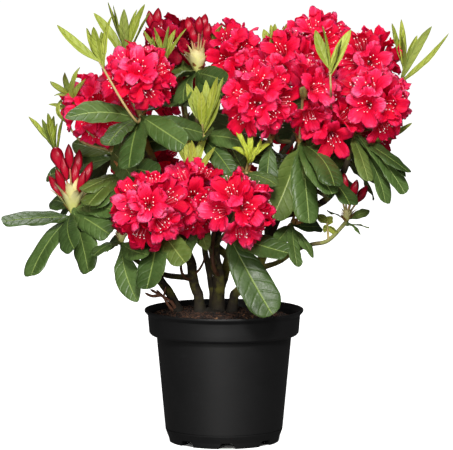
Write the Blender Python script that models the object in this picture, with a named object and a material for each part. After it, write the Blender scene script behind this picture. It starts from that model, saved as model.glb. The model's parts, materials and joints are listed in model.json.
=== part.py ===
"""A rhododendron in full bloom, growing in a black nursery pot.

Metres, +Z up. The origin is the middle of the pot's underside, on the ground; -Y is the front.
The plant's own sizes and places are written in millimetres and scaled by MM.
"""

import math
import random

import bmesh
import bpy
from mathutils import Matrix, Vector
from mathutils.bvhtree import BVHTree

MM = 0.001
GAP = 0.3  # left between two pieces that touch, mm
UP = Vector((0, 0, 1))

# Pot, mm: a turned wall with a deep collar, standing on a notched foot ring.
POT_HEIGHT = 193
POT_LIP_RADIUS = 115.5
POT_SEGMENTS = 36
POT_SHARP = 32  # degrees; sharper edges of the turned wall stay crisp
FOOT_RADIUS = 80
FOOT_INNER_RADIUS = 70
FLOOR_UNDERSIDE = 9.5
FLOOR_TOP = 12
COLLAR_FOOT = 156.5
POT_OUTSIDE = (  # (radius, height) from the foot up to the rim
    (FOOT_RADIUS, 0), (81.6, 8), (85.3, 18), (98.2, COLLAR_FOOT), (106, COLLAR_FOOT), (108.7, 159.6),
    (110.8, 185), (POT_LIP_RADIUS, 190), (POT_LIP_RADIUS, POT_HEIGHT), (112.3, POT_HEIGHT),
)
POT_INSIDE = ((108.4, 185.5), (106, 162), (95.7, 157), (81, FLOOR_TOP), (0, FLOOR_TOP))
POT_UNDERSIDE = ((0, FLOOR_UNDERSIDE), (FOOT_INNER_RADIUS, FLOOR_UNDERSIDE), (FOOT_INNER_RADIUS, 0))
NOTCH_COUNT = 8
NOTCH_WIDTH = 15
NOTCH_HEIGHT = 8.5
NOTCH_TURN = 3  # degrees the first notch stands to the right of the front

# Soil, mm: level and highest round the stems, lumpy towards the wall.
SOIL_CROWN = 188
SOIL_EDGE = 179
SOIL_MIDDLE = (-25, 12)
SOIL_LEVEL_RADIUS = 58
SOIL_FALL = 45  # width of the slope round the level middle
SOIL_LUMPS = (1.6, 1.1)
SOIL_LUMP_MOST = 2
SOIL_SEGMENTS = 24
SOIL_RADIUS = 106.8  # at the top, where it meets the wall
SOIL_RINGS = (0.22, 0.45, 0.66, 0.84, 1.0)
SOIL_SIDES = ((80.6, FLOOR_TOP + GAP), (95.1, 157.1), (105.3, 162.4))  # (radius, height), 0.4 inside the wall

# Root crown, mm; its flare is (height above the soil, radius along X, radius along Y).
ROOT_CROWN = (-16, 15)
ROOT_FLARE = ((0, 27, 22), (4, 23, 19), (12, 19, 16), (21, 16, 14))
ROOT_SIDES = 14
ROOT_LOBES = (5, 0.14, 0.005)  # how many, how deep at the soil, and less by this for each mm up
ROOT_LINE = 12  # height above the soil that the stems spring from

# Limbs, mm.
TRUNK_STUB = 32  # of each stem, fused to the root crown
SIDE_STUB = 14  # a side limb's foot stands this far clear of its parent
LIMB_SIDES = 6
TWIG_RADII = (3.2, 2.8)
TWIG_SIDES = 5
HEAD_STALK_RADII = (3.6, 4.4)
TIP_RADII = (3.8, 2.8)
CANDLE_RADII = (2.6, 2.0)

# Leaf, floret and bud proportions, mm where not a ratio.
LEAF_WIDTH = 0.38  # of the leaf's length
LEAF_THICK = 2.2
LEAF_BOW = 0.07
LEAF_STEP = 2.4  # between the feet of a whorl's leaves, along the stem
LEAF_ROOT = -2.5  # a leaf starts this far along from the middle of its stem
LEAF_LENGTHS = (1, 0.88, 0.76)
LEAF_TURNS = ((0, 0), (8, 0), (-8, 0), (0, 9), (0, -9), (14, 8), (-14, -8))  # (lift, turn), degrees
LEAF_SECTIONS = ((0.14, 0.14), (0.62, 1.0))  # (place along the leaf, part of its width)
BLADE_WIDTH = 13
BLADE_THICK = 2.2
BLADE_SECTIONS = ((0.5, 1.0),)
BLADE_BOW = -0.04
BLADE_STEP = 3  # between the feet of a tuft's leaves
BLADE_DEPTH = 0.32  # of its reach sideways, that a leaf of a tuft may lean forward or back
BLADE_TURN = 2.4  # radians from one to the next
FLORET_REACH = 55  # dome centre to the tips of the lobes
FLORET_LOBE = 28
FLORET_MIDDLE = 35
FLORET_CUP = 0.7
FLORET_SPACING = 46  # degrees between neighbours on a dome
FLORET_TRIES = 14
DOME_SHARE = 1.25  # of the half sphere round a dome that the florets cover
COLLAR_ROOM = 32  # kept free of florets round the whorls
KNOB_RADIUS = 10
FLORET_FOOT = 3
BUD_LENGTH = 38
BUD_RADIUS = 6.2
STALK_RADIUS = 1.6
CUP_RADIUS = 13
CUP_HEIGHTS = (12, 34)
BUD_SPREAD = 20
WHORL_LENGTHS = (92, 116)
SPACE = 170  # how far a mass may reach from its collar
CLEARANCE = 0.6
CROWN_LOW = 292  # no leaf that the rule adds hangs lower
CROWN_HALF = (312, 246)

# Limbs: parent, its control point the limb leaves from, (first radius, last radius), points, mm.
LIMBS = {
    "stem_left": (
        "trunk", 0, (8.6, 6.4),
        ((-37, 8, 213), (-45, 3, 238), (-48, -4, 262), (-60, -22, 293), (-72, -34, 330)),
    ),
    "stem_thin": (
        "trunk", 0, (7.0, 4.2),
        ((-17, 22, 214), (-23, 22, 252), (-28, 20, 278), (-31, 15, 330), (-37, 6, 400), (-39, 6, 460)),
    ),
    "stem_middle": (
        "trunk", 0, (10.4, 5.0),
        (
            (-8, 10, 216), (-7, 5, 236), (-10, 1, 252), (-14, -10, 285), (-4, -30, 330), (12, -52, 385),
            (34, -72, 420),
        ),
    ),
    "stem_right": (
        "trunk", 0, (7.0, 6.0),
        ((15, 8, 213), (48, -2, 252), (65, -8, 296), (77, -14, 328)),
    ),
    "stem_rear": (
        "trunk", 0, (7.4, 5.6),
        ((-6, 42, 216), (7, 62, 262), (17, 70, 312), (20, 68, 345), (20, 62, 372)),
    ),
    "bough_low_left": (
        "stem_left", 2, (4.4, 3.2),
        ((-83, -24, 245), (-112, -62, 262), (-134, -94, 282)),
    ),
    "bough_left": ("stem_left", 4, (5.0, 3.8), ((-98, -36, 312), (-150, -50, 318), (-188, -57, 322))),
    "bough_upper_left": (
        "stem_left", -1, (6.2, 4.4),
        ((-86, -54, 375), (-104, -84, 425), (-112, -98, 448)),
    ),
    "bough_low_right": ("stem_right", 2, (4.2, 3.4), ((78, -10, 262), (100, -18, 279))),
    "bough_right": (
        "stem_right", -1, (5.6, 4.2),
        ((112, -18, 337), (150, -26, 358), (172, -40, 398), (180, -52, 424)),
    ),
    "bough_centre_right": (
        "stem_right", 3, (4.8, 3.8),
        ((62, 8, 330), (74, 0, 366), (94, -26, 394), (104, -50, 412)),
    ),
    "bough_top_centre": ("stem_rear", -1, (5.4, 4.2), ((18, 50, 414), (12, 42, 456))),
    "bough_top_right": ("stem_rear", 3, (5.2, 4.0), ((58, 58, 380), (98, 48, 432), (118, 45, 472))),
    "bough_top_left": ("stem_rear", 3, (5.0, 4.0), ((-22, 84, 372), (-48, 84, 430))),
    "bough_rear_left": (
        "stem_rear", 2, (5.0, 3.8),
        ((-38, 94, 298), (-80, 112, 348), (-97, 114, 378), (-104, 114, 402)),
    ),
    "bough_rear_right": (
        "stem_rear", 2, (5.0, 3.8),
        ((52, 94, 322), (92, 114, 372), (112, 118, 398), (122, 120, 420)),
    ),
}
# The outer stem has its own foot in the soil, beside the others.
OUTER_STEM = (
    (-68, 10, SOIL_CROWN + GAP), (-77, 5, 212), (-92, -3, 235), (-108, -6, 262), (-128, -8, 305),
    (-142, -12, 350), (-151, -15, 385),
)
OUTER_STEM_BEFORE = (-64, 12, 170)
OUTER_STEM_RADII = (6.8, 4.2)
DEAD_TWIGS = (
    ((-71, 6, 192), (-76, -8, 204), (-92, -22, 216), (-106, -30, 225)),
    ((-92, -22, 216), (-104, -20, 214), (-114, -22, 219)),
)
DEAD_TWIG_RADIUS = 2.6

# Masses. from: limb and its control point; path: middle points of the stem; collar: where the
# whorl of leaves sits; dome: centre of the flower head; faces: florets that face forward, as
# (right, up) of the dome's centre; leaves: (right, up, length, forward 1 or back -1) of the
# collar; whorl: leaves the rule adds; shoots: new growth, each (path from the collar, tips as
# (right, up) of the path's end); buds: tips of closed buds, as (right, up) of the collar.
MASSES = {
    "truss_left": dict(
        limb=("bough_upper_left", -1), collar=(-118, -110, 480), dome=(-121, -120, 534), whorl=3,
        faces=((2, 24), (17, -16), (-25, 34), (-8, -2), (40, 18)),
        leaves=(
            (-104, 2, 112, 1), (-44, -34, 92, 1), (-14, -64, 108, 1), (64, -34, 96, 1),
            (52, 12, 86, -1),
        ),
        shoots=(
            (
                ((-122, -160, 478), (-142, -176, 508), (-174, -172, 564)),
                ((-59, 49), (-17, 46), (-7, 48), (3, 40), (19, 63)),
            ),
            (
                ((-134, -70, 510), (-141, -52, 574)),
                ((-25, 66), (-17, 62), (-1, 57), (17, 55), (29, 64), (36, 52), (-45, 50)),
            ),
            (
                ((-96, -80, 510), (-85, -64, 562)),
                ((-30, 38), (-15, 43), (7, 45), (16, 39), (32, 42), (-17, 30)),
            ),
        ),
    ),
    "truss_far_left": dict(
        limb=("stem_outer_left", -1), collar=(-161, -20, 424), dome=(-181, -30, 487), whorl=3,
        faces=((6, 20), (22, -14), (-22, -8), (-8, -40)),
        leaves=((-60, 6, 95, -1), (30, -30, 90, 1)),
        shoots=(
            (
                ((-200, -8, 462), (-219, 0, 508)),
                ((-30, 18), (-24, -2), (-8, 32), (13, 38), (22, 23), (3, 24)),
            ),
            (((-205, 10, 440), (-228, 14, 470)), ((-24, 22), (0, 34), (-8, 28), (11, 12))),
        ),
    ),
    "leaves_left": dict(
        limb=("stem_outer_left", 5), path=((-146, -40, 374),), collar=(-146, -66, 398), whorl=2,
        leaves=(
            (-66, -8, 84, 1), (-58, -52, 104, 1), (-40, -58, 98, 1), (30, -52, 96, 1), (58, -22, 92, 1),
        ),
    ),
    "buds_far_left": dict(
        limb=("bough_left", -1), collar=(-217, -62, 338), whorl=0,
        buds=(
            (-34, 54), (-25, 96), (-4, 102), (10, 91), (19, 64), (-14, 84), (5, 76), (-22, 66),
            (28, 74),
        ),
        leaves=(
            (-98, -7, 106, 1), (-56, -82, 118, 1), (7, -40, 98, 1), (56, -22, 92, 1), (65, 9, 88, 1),
            (-34, 10, 84, -1), (-22, -10, 86, -1), (26, -76, 106, 1), (20, 8, 90, -1),
        ),
        shoots=(
            (
                ((-232, -20, 372), (-245, 0, 430)),
                ((-38, 42), (-18, 39), (-9, 49), (-1, 43), (5, 34), (14, 46)),
            ),
        ),
    ),
    "buds_low_left": dict(
        limb=("bough_low_left", -1), collar=(-145, -114, 303), whorl=1,
        buds=((-14, 42), (-6, 56), (4, 34)),
        leaves=((24, -78, 98, 1), (-38, -14, 66, 1), (40, -10, 80, 1), (-20, -10, 80, -1)),
    ),
    "truss_front_left": dict(
        limb=("stem_left", 3), path=((-76, -64, 302),), collar=(-94, -116, 326), dome=(-104, -176, 357),
        whorl=2,
        faces=((0, 14), (-29, 3), (-15, -34), (22, -20), (34, 22)),
        leaves=((-14, -80, 112, 1), (-46, -26, 84, 1), (40, -44, 92, 1)),
    ),
    "truss_front_middle": dict(
        limb=("stem_middle", 3), path=((-26, -44, 300),), collar=(-40, -74, 336), dome=(-46, -116, 366),
        whorl=2,
        faces=((6, 8), (29, -6), (-7, -36), (-16, 40), (-34, -26)),
        leaves=((-30, -54, 92, 1), (16, -44, 66, 1)),
        shoots=(
            (((-44, -84, 368), (-44, -98, 400)), ((-26, 56), (-8, 56), (-2, 48), (21, 55), (32, 38))),
        ),
    ),
    "truss_front_right": dict(
        limb=("stem_middle", 4), path=((4, -62, 312),), collar=(6, -116, 318), dome=(18, -178, 357),
        whorl=1,
        faces=((-9, 32), (17, 8), (6, -34), (36, -12), (-34, 14)),
        leaves=((62, -113, 134, 1), (84, -24, 102, 1), (10, -50, 80, -1)),
    ),
    "buds_top": dict(
        limb=("stem_thin", -1), collar=(-39, 10, 534), whorl=0, cup=1.5,
        buds=((-14, 82), (-6, 70), (4, 84), (12, 86), (18, 74)),
        leaves=(
            (-44, 12, 72, -1), (-46, -10, 86, 1), (42, -8, 80, 1), (-18, -36, 86, 1), (24, -26, 90, 1),
            (30, 4, 80, -1),
        ),
    ),
    "leaves_centre": dict(
        limb=("stem_thin", 5), path=((-36, -20, 420),), collar=(-30, -60, 446), whorl=2,
        leaves=(
            (-40, -46, 80, 1), (40, -44, 78, 1), (12, 4, 62, 1), (-66, -12, 90, 1), (62, -6, 88, 1),
        ),
        shoots=(
            (
                ((-31, -72, 468),),
                ((-22, 57), (-9, 54), (-1, 46), (5, 61), (22, 68), (30, 66), (26, 43)),
            ),
        ),
    ),
    "leaves_centre_right": dict(
        limb=("stem_middle", 6), path=((24, -84, 396),), collar=(30, -104, 400), whorl=0,
        leaves=((-50, -4, 78, 1), (44, -12, 72, 1), (-36, -30, 76, -1), (-26, 34, 90, -1)),
        shoots=(
            (((36, -126, 424),), ((-23, 50), (0, 44), (39, 40), (29, 19), (-12, 30))),
        ),
    ),
    "truss_centre": dict(
        limb=("stem_middle", -1), collar=(66, -92, 446), dome=(50, -124, 504), whorl=2,
        faces=((8, 30), (-30, 14), (-4, -6), (28, -34), (-28, -26)),
        leaves=((-8, -74, 80, 1), (-50, -30, 96, 1)),
    ),
    "truss_centre_right": dict(
        limb=("bough_centre_right", -1), collar=(108, -70, 440), dome=(112, -96, 514), whorl=2,
        faces=((-6, 22), (-22, -18), (10, -36), (24, 12)),
        leaves=((-40, -102, 120, 1), (12, -110, 118, 1), (50, -40, 106, 1), (44, -66, 104, 1)),
    ),
    "truss_right_front": dict(
        limb=("bough_right", 2), path=((126, -28, 376),), collar=(138, -34, 406), dome=(150, -60, 462),
        whorl=1,
        faces=((-24, 12), (5, -16), (14, 30)),
        leaves=((40, -50, 100, 1), (10, -40, 90, 1)),
        shoots=(
            (
                ((152, -140, 470), (150, -152, 512), (148, -152, 552)),
                ((-20, 53), (-11, 60), (16, 41), (30, 53)),
            ),
        ),
    ),
    "truss_top_middle": dict(
        limb=("bough_top_right", 2), path=((76, 30, 440),), collar=(84, -4, 494), dome=(92, -12, 550),
        whorl=2,
        faces=((-14, 26), (0, 16), (-26, -8)),
        leaves=((20, 10, 90, -1),),
    ),
    "truss_top": dict(
        limb=("bough_top_right", -1), collar=(128, 60, 512), dome=(136, 72, 570), whorl=2,
        faces=((17, 14), (-18, 10), (20, -26), (-8, 36)),
        leaves=((-40, 10, 90, -1),),
    ),
    "truss_right": dict(
        limb=("bough_top_right", 3), path=((140, 30, 458), (170, 14, 476)), collar=(190, 12, 494),
        dome=(206, 16, 548), whorl=1,
        faces=((9, 6), (-30, 2), (24, -24), (-4, -30)),
        leaves=((10, 20, 90, -1),),
        shoots=(
            (
                ((226, 0, 492), (250, 0, 516), (262, 0, 537)),
                ((-20, 70), (-7, 76), (-7, 54), (17, 52), (36, 67), (62, 56)),
            ),
        ),
    ),
    "truss_far_right": dict(
        limb=("bough_right", -1), collar=(186, -60, 450), dome=(212, -76, 498), whorl=1,
        faces=((-14, -2), (26, -2), (-27, 32), (-6, 32), (18, -36)),
        leaves=(
            (17, -58, 98, 1), (42, -91, 116, 1), (80, -34, 106, 1), (70, -54, 104, 1),
            (70, -78, 116, 1), (52, -10, 90, -1),
        ),
        shoots=(
            (((214, -30, 436),), ((42, 40), (56, 30), (14, 20))),
        ),
    ),
    "buds_right": dict(
        limb=("bough_low_right", -1), path=((126, -27, 290), (150, -37, 297)), collar=(176, -50, 326),
        whorl=0,
        buds=((-16, 66), (-4, 70), (14, 62), (30, 50), (8, 52)),
        leaves=((30, -6, 48, 1), (18, -16, 40, 1), (-26, 10, 44, -1), (34, 12, 50, -1)),
        shoots=(
            (((150, -39, 300), (148, -42, 324)), ((-14, 10), (8, 8), (16, -14), (-6, -8))),
        ),
    ),
    "leaves_right": dict(
        limb=("stem_right", 3), path=((84, -26, 306),), collar=(96, -36, 320), whorl=0,
        leaves=((30, -42, 76, 1), (-26, -22, 80, 1), (44, -10, 80, -1), (8, -54, 82, 1)),
    ),
    "truss_top_centre": dict(
        limb=("bough_top_centre", -1), collar=(9, 38, 502), dome=(9, 40, 556), whorl=3,
        faces=((3, 12), (19, -12), (-26, -22), (-4, 34), (30, 20)),
        leaves=((-40, -12, 92, 1), (46, -14, 92, 1)),
        shoots=(
            (((44, 62, 520), (76, 58, 566)), ((-19, 33), (-9, 40), (-3, 42), (5, 32), (14, 42))),
            (((-8, 84, 540), (-15, 92, 580)), ((-8, 20), (2, 26), (13, 24), (26, 22))),
        ),
    ),
    "truss_top_left": dict(
        limb=("bough_top_left", -1), collar=(-62, 80, 512), dome=(-66, 76, 566), whorl=3,
        faces=((-14, 10), (20, 16), (4, -16), (-34, -10)),
        leaves=((50, -20, 96, 1),),
        shoot_buds=((-8, 50), (6, 54), (12, 38)),
        shoots=(
            (((-92, 92, 540), (-102, 84, 572)), ()),
        ),
    ),
    "truss_rear_left": dict(
        limb=("bough_rear_left", -1), collar=(-112, 116, 430), dome=(-120, 128, 484), whorl=5,
    ),
    "truss_rear_low_left": dict(
        limb=("bough_rear_left", 2), path=((-84, 140, 340),), collar=(-100, 160, 348),
        dome=(-116, 186, 384), whorl=4,
    ),
    "leaves_rear_left": dict(
        limb=("bough_rear_left", 3), path=((-126, 134, 404),), collar=(-172, 136, 420),
        candle=(-196, 150, 452), whorl=7,
    ),
    "truss_rear_top_left": dict(
        limb=("bough_top_left", 1), path=((-46, 130, 420),), collar=(-58, 156, 450),
        dome=(-66, 174, 500), whorl=4,
    ),
    "truss_rear_top_right": dict(
        limb=("stem_rear", 4), path=((32, 112, 410),), collar=(42, 144, 444), dome=(48, 168, 492),
        whorl=4,
    ),
    "truss_rear_middle": dict(
        limb=("stem_rear", 2), path=((8, 112, 300),), collar=(8, 146, 318), dome=(8, 184, 344), whorl=4,
    ),
    "truss_rear_right": dict(
        limb=("bough_rear_right", -1), collar=(140, 126, 450), dome=(152, 136, 502), whorl=5,
    ),
    "truss_rear_low_right": dict(
        limb=("bough_rear_right", 2), path=((92, 146, 376),), collar=(100, 160, 396),
        dome=(116, 184, 434), whorl=4,
    ),
    "truss_rear_far_right": dict(
        limb=("bough_rear_right", 3), path=((140, 106, 404),), collar=(176, 98, 418),
        dome=(206, 96, 458), candle=(236, 120, 440), whorl=5,
    ),
}

COLOURS = {
    "pot": (0.018, 0.018, 0.020),
    "soil": (0.045, 0.026, 0.016),
    "wood": (0.085, 0.070, 0.040),
    "blossom": (0.62, 0.014, 0.045),
    "leaf": (0.060, 0.125, 0.048),
}
ROUGHNESS = {"pot": 0.42, "soil": 0.95, "wood": 0.85, "blossom": 0.5, "leaf": 0.45}


def mm(points):
    return [Vector(point) * MM for point in points]


def material(name):
    """The Principled material of this name, made on first use."""
    if name in bpy.data.materials:
        return bpy.data.materials[name]
    made = bpy.data.materials.new(name)
    made.use_nodes = True
    shader = made.node_tree.nodes["Principled BSDF"]
    shader.inputs["Base Color"].default_value = (*COLOURS[name], 1)
    shader.inputs["Roughness"].default_value = ROUGHNESS[name]
    shader.inputs["Metallic"].default_value = 0
    return made


def add_object(name, verts, faces, finish="leaf", smooth=None):
    """An object from a piece's points in mm, its faces turned outwards."""
    mesh = bpy.data.meshes.new(name)
    mesh.from_pydata(mm(verts), [], faces)
    edit = bmesh.new()
    edit.from_mesh(mesh)
    bmesh.ops.recalc_face_normals(edit, faces=edit.faces)
    edit.to_mesh(mesh)
    edit.free()
    mesh.materials.append(material(finish))
    if smooth:
        mesh.shade_smooth()
        mesh.set_sharp_from_angle(angle=math.radians(smooth))
    made = bpy.data.objects.new(name, mesh)
    bpy.context.scene.collection.objects.link(made)
    return made


# Shapes: each function returns (points in mm, faces) of one closed piece.


def skin(rings):
    """Closed piece through rings of points; a ring of one point is a tip."""
    verts = []
    starts = []
    for ring in rings:
        starts.append(len(verts))
        verts += [Vector(point) for point in ring]
    faces = []
    for (low, here), (high, there) in zip(zip(starts, rings), zip(starts[1:], rings[1:])):
        count = max(len(here), len(there))
        for k in range(count):
            j = (k + 1) % count
            if len(here) == 1:
                faces.append((low, high + j, high + k))
            elif len(there) == 1:
                faces.append((low + k, low + j, high))
            else:
                faces.append((low + k, low + j, high + j, high + k))
    for start, ring, turned in ((starts[0], rings[0], True), (starts[-1], rings[-1], False)):
        if len(ring) > 1:
            cap = tuple(range(start, start + len(ring)))
            faces.append(cap[::-1] if turned else cap)
    return verts, faces


def lathe(profile, segments):
    """Closed piece turned round Z from (radius, height) points; radius 0 is on the axis."""
    verts = []
    index = []
    for radius, height in profile:
        index.append(len(verts))
        if radius == 0:
            verts.append(Vector((0, 0, height)))
            continue
        for k in range(segments):
            turn = 2 * math.pi * k / segments
            verts.append(Vector((radius * math.sin(turn), -radius * math.cos(turn), height)))
    faces = []
    for i in range(len(profile)):
        n = (i + 1) % len(profile)
        a, b = index[i], index[n]
        if profile[i][0] == 0 and profile[n][0] == 0:
            continue
        for k in range(segments):
            j = (k + 1) % segments
            if profile[i][0] == 0:
                faces.append((a, b + j, b + k))
            elif profile[n][0] == 0:
                faces.append((a + k, a + j, b))
            else:
                faces.append((a + k, a + j, b + j, b + k))
    return verts, faces


def smooth_path(points, before=None, steps=2):
    """Points of a Catmull-Rom curve through the given ones; `before` steers its start."""
    points = [Vector(point) for point in points]
    first = Vector(before) if before is not None else 2 * points[0] - points[1]
    control = [first, *points, 2 * points[-1] - points[-2]]
    path = []
    for i in range(1, len(control) - 2):
        p0, p1, p2, p3 = control[i - 1 : i + 3]
        for k in range(steps):
            t = k / steps
            bend = (2 * p0 - 5 * p1 + 4 * p2 - p3) * t * t
            twist = (3 * p1 - 3 * p2 + p3 - p0) * t * t * t
            path.append((2 * p1 + (p2 - p0) * t + bend + twist) / 2)
    return [*path, points[-1]]


def lengths(path):
    """Distance along the path to each of its points."""
    run = [0.0]
    for a, b in zip(path, path[1:]):
        run.append(run[-1] + (b - a).length)
    return run


def point_at(path, distance):
    """(point, direction) this far along the path."""
    run = lengths(path)
    for i in range(len(path) - 1):
        if distance <= run[i + 1] or i == len(path) - 2:
            along = (path[i + 1] - path[i]).normalized()
            return path[i] + along * (distance - run[i]), along
    return None


def part_of(path, low, high):
    """The path's points between two distances along it."""
    run = lengths(path)
    inner = [p for p, r in zip(path, run) if low + 2 < r < high - 2]
    return [point_at(path, low)[0], *inner, point_at(path, high)[0]]


def tube(path, radii, sides, first_way=None, last_way=None):
    """A limb along the path, from radii[0] to radii[1], its ends square to the given ways."""
    run = lengths(path)
    ways = [(b - a).normalized() for a, b in zip(path, path[1:])]
    first_way = first_way or ways[0]
    last_way = last_way or ways[-1]
    middles = [(a + b).normalized() for a, b in zip(ways, ways[1:])]
    rings = []
    across = first_way.orthogonal().normalized()
    for point, way, r in zip(path, [first_way, *middles, last_way], run):
        across = (across - way * across.dot(way)).normalized()
        side = way.cross(across)
        radius = radii[0] + (radii[1] - radii[0]) * r / run[-1]
        turns = [2 * math.pi * k / sides for k in range(sides)]
        rings.append([point + (across * math.cos(t) + side * math.sin(t)) * radius for t in turns])
    return skin(rings)


def blade(base, tip, facing, width, thick, bow, sections):
    """A leaf from base to tip: a low ridge of a solid, bowed towards the way it faces."""
    run = tip - base
    side = run.cross(facing).normalized()
    face = side.cross(run).normalized()
    rings = [[base]]
    for t, part in sections:
        middle = base + run * t + face * (4 * bow * run.length * t * (1 - t))
        half = side * (width * part / 2)
        rings.append([middle + half, middle - half, middle + face * thick])
    rings.append([tip])
    return skin(rings)


def ring(middle, way, radius, count, turn=0.0):
    """Points evenly round a middle, square to a way; the first is turned from straight up."""
    side = way.cross(UP if abs(way.z) < 0.9 else Vector((0, 1, 0))).normalized()
    rise = side.cross(way)
    turns = [turn + 2 * math.pi * k / count for k in range(count)]
    return [middle + (rise * math.cos(t) + side * math.sin(t)) * radius for t in turns]


def floret(hub, way, turn):
    """An open flower: a funnel out of the hub, flaring to five broad lobes, dished in front."""
    lobes = ring(hub + way * FLORET_REACH, way, FLORET_LOBE, 5, turn)
    return skin([[hub + way * FLORET_FOOT], lobes, [hub + way * FLORET_REACH * FLORET_CUP]])


def knob(hub, axis):
    """The knob at the middle of a flower head that its florets stand on."""
    low = ring(hub - axis * KNOB_RADIUS * 0.4, axis, KNOB_RADIUS, 5)
    high = ring(hub + axis * KNOB_RADIUS * 0.5, axis, KNOB_RADIUS, 5, math.pi / 5)
    return skin([[hub - axis * KNOB_RADIUS], low, high, [hub + axis * KNOB_RADIUS * 1.1]])


def bud(foot, tip):
    """A closed bud on its stalk, a three-sided spindle."""
    way = (tip - foot).normalized()
    neck = ring(tip - way * BUD_LENGTH, way, STALK_RADIUS, 3)
    waist = ring(tip - way * BUD_LENGTH / 2, way, BUD_RADIUS, 3)
    return skin([[foot], neck, waist, [tip]])


def cup(foot, way, size):
    """The cup of bud scales under closed buds."""
    low, high = CUP_HEIGHTS
    return skin([
        [foot],
        ring(foot + way * low * size, way, CUP_RADIUS / 2, 5),
        ring(foot + way * high * size, way, CUP_RADIUS, 5),
    ])


# Growth: the pieces of every limb and mass, each placed clear of what stands there already.


class Grown:
    """All pieces so far: (node, kind, low corner, high corner, tree, points)."""

    def __init__(self):
        self.pieces = []

    def add(self, node, kind, piece):
        verts, faces = piece
        low = [min(v[i] for v in verts) for i in range(3)]
        high = [max(v[i] for v in verts) for i in range(3)]
        self.pieces.append((node, kind, low, high, BVHTree.FromPolygons(verts, faces), piece))

    def of(self, node):
        return [piece for owner, _, _, _, _, piece in self.pieces if owner == node]

    def clear(self, node, piece, heads=False):
        """Whether a piece keeps its clearance from the other nodes, and from its own flower head."""
        verts, faces = piece
        centre = sum(verts, Vector()) / len(verts)
        wide = [v + (v - centre).normalized() * CLEARANCE for v in verts]
        tree = BVHTree.FromPolygons(wide, faces)
        low = [min(v[i] for v in wide) for i in range(3)]
        high = [max(v[i] for v in wide) for i in range(3)]
        for owner, other_kind, a, b, other, (points, _) in self.pieces:
            if owner == node and not (heads and other_kind in ("floret", "blade")):
                continue
            if any(a[i] > high[i] or b[i] < low[i] for i in range(3)):
                continue
            if tree.overlap(other) or inside(other, centre) or inside(tree, points[-1]):
                return False
        return True


def inside(tree, point):
    """Whether a point is within a closed piece, by counting the faces above it."""
    hits = 0
    origin = point.copy()
    for _ in range(8):
        place, _, _, _ = tree.ray_cast(origin, UP)
        if place is None:
            break
        hits += 1
        origin = place + UP * 0.01
    return hits % 2 == 1


def grow_limbs(grown):
    """Trunk, stems and boughs. A limb's first stretch is fused to its parent, as a stub."""
    paths = {"trunk": [Vector((*ROOT_CROWN, SOIL_CROWN + ROOT_LINE))]}
    foot = SOIL_CROWN + GAP
    rings = []
    for height, wide, deep in ROOT_FLARE:
        flare = []
        for k in range(ROOT_SIDES):
            turn = 2 * math.pi * k / ROOT_SIDES
            lobe = 1 + (ROOT_LOBES[1] - ROOT_LOBES[2] * height) * math.cos(ROOT_LOBES[0] * turn)
            x = ROOT_CROWN[0] + wide * lobe * math.cos(turn)
            y = ROOT_CROWN[1] + deep * lobe * math.sin(turn)
            flare.append((x, y, foot + height))
        rings.append(flare)
    grown.add("trunk", "limb", skin(rings))
    outer = smooth_path(OUTER_STEM, before=OUTER_STEM_BEFORE)
    grown.add("stem_outer_left", "limb", tube(outer, OUTER_STEM_RADII, 8, first_way=UP))
    for twig in DEAD_TWIGS:
        grown.add("stem_outer_left", "limb", tube(smooth_path(twig), (DEAD_TWIG_RADIUS, 1.8), 5))
    paths["stem_outer_left"] = [Vector(point) for point in OUTER_STEM]
    radii = {"trunk": (10, 10), "stem_outer_left": OUTER_STEM_RADII}
    for name, (parent, start, ends, points) in LIMBS.items():
        begin_limb(grown, paths, radii, name, parent, start, ends, points, LIMB_SIDES, steps=2)
    return paths, radii


def begin_limb(grown, paths, radii, name, parent, start, ends, points, sides, steps):
    """Adds a limb: its stub on the parent where it leaves sideways, then the limb, 0.3 mm clear."""
    line = paths[parent]
    origin = line[start]
    if parent != "trunk" and start in (-1, len(line) - 1):
        way = (point_at(smooth_path(line), 1e6)[1]).normalized()
        path = smooth_path([origin, *points], before=line[-2], steps=steps)
        path[0] = origin + way * GAP
        grown.add(name, "limb", tube(path, ends, sides, first_way=way))
    else:
        path = smooth_path([origin, *points], steps=steps)
        share = start / max(len(line) - 1, 1)
        around = radii[parent][0] + (radii[parent][1] - radii[parent][0]) * share
        total = lengths(path)[-1]
        cut = TRUNK_STUB if parent == "trunk" else around + ends[0] + SIDE_STUB
        at_cut = ends[0] + (ends[1] - ends[0]) * cut / total
        way = point_at(path, cut)[1]
        stub = part_of(path, 0, cut)
        rest = part_of(path, cut + GAP, total)
        grown.add(parent, "limb", tube(stub, (ends[0], at_cut), sides, last_way=way))
        grown.add(name, "limb", tube(rest, (at_cut, ends[1]), sides, first_way=way))
    paths[name] = [origin, *[Vector(point) for point in points]]
    radii[name] = ends


def front_offset(centre, right, up, length, forward):
    """The point this far right of and above a centre, at this distance from it, on one side."""
    depth = math.sqrt(max(length * length - right * right - up * up, 0))
    return Vector(centre) + Vector((right, -forward * depth, up))


def leaf_facing(base, tip):
    """Leaves face upwards and away from the plant's middle."""
    outward = Vector(((base.x + tip.x) / 2, (base.y + tip.y) / 2 + 20, 0)).normalized()
    return outward + UP * 0.9


def in_crown(point):
    """Whether a point is in the box that leaves added by the rule keep to."""
    return point.z > CROWN_LOW and abs(point.x) < CROWN_HALF[0] and abs(point.y) < CROWN_HALF[1]


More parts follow.
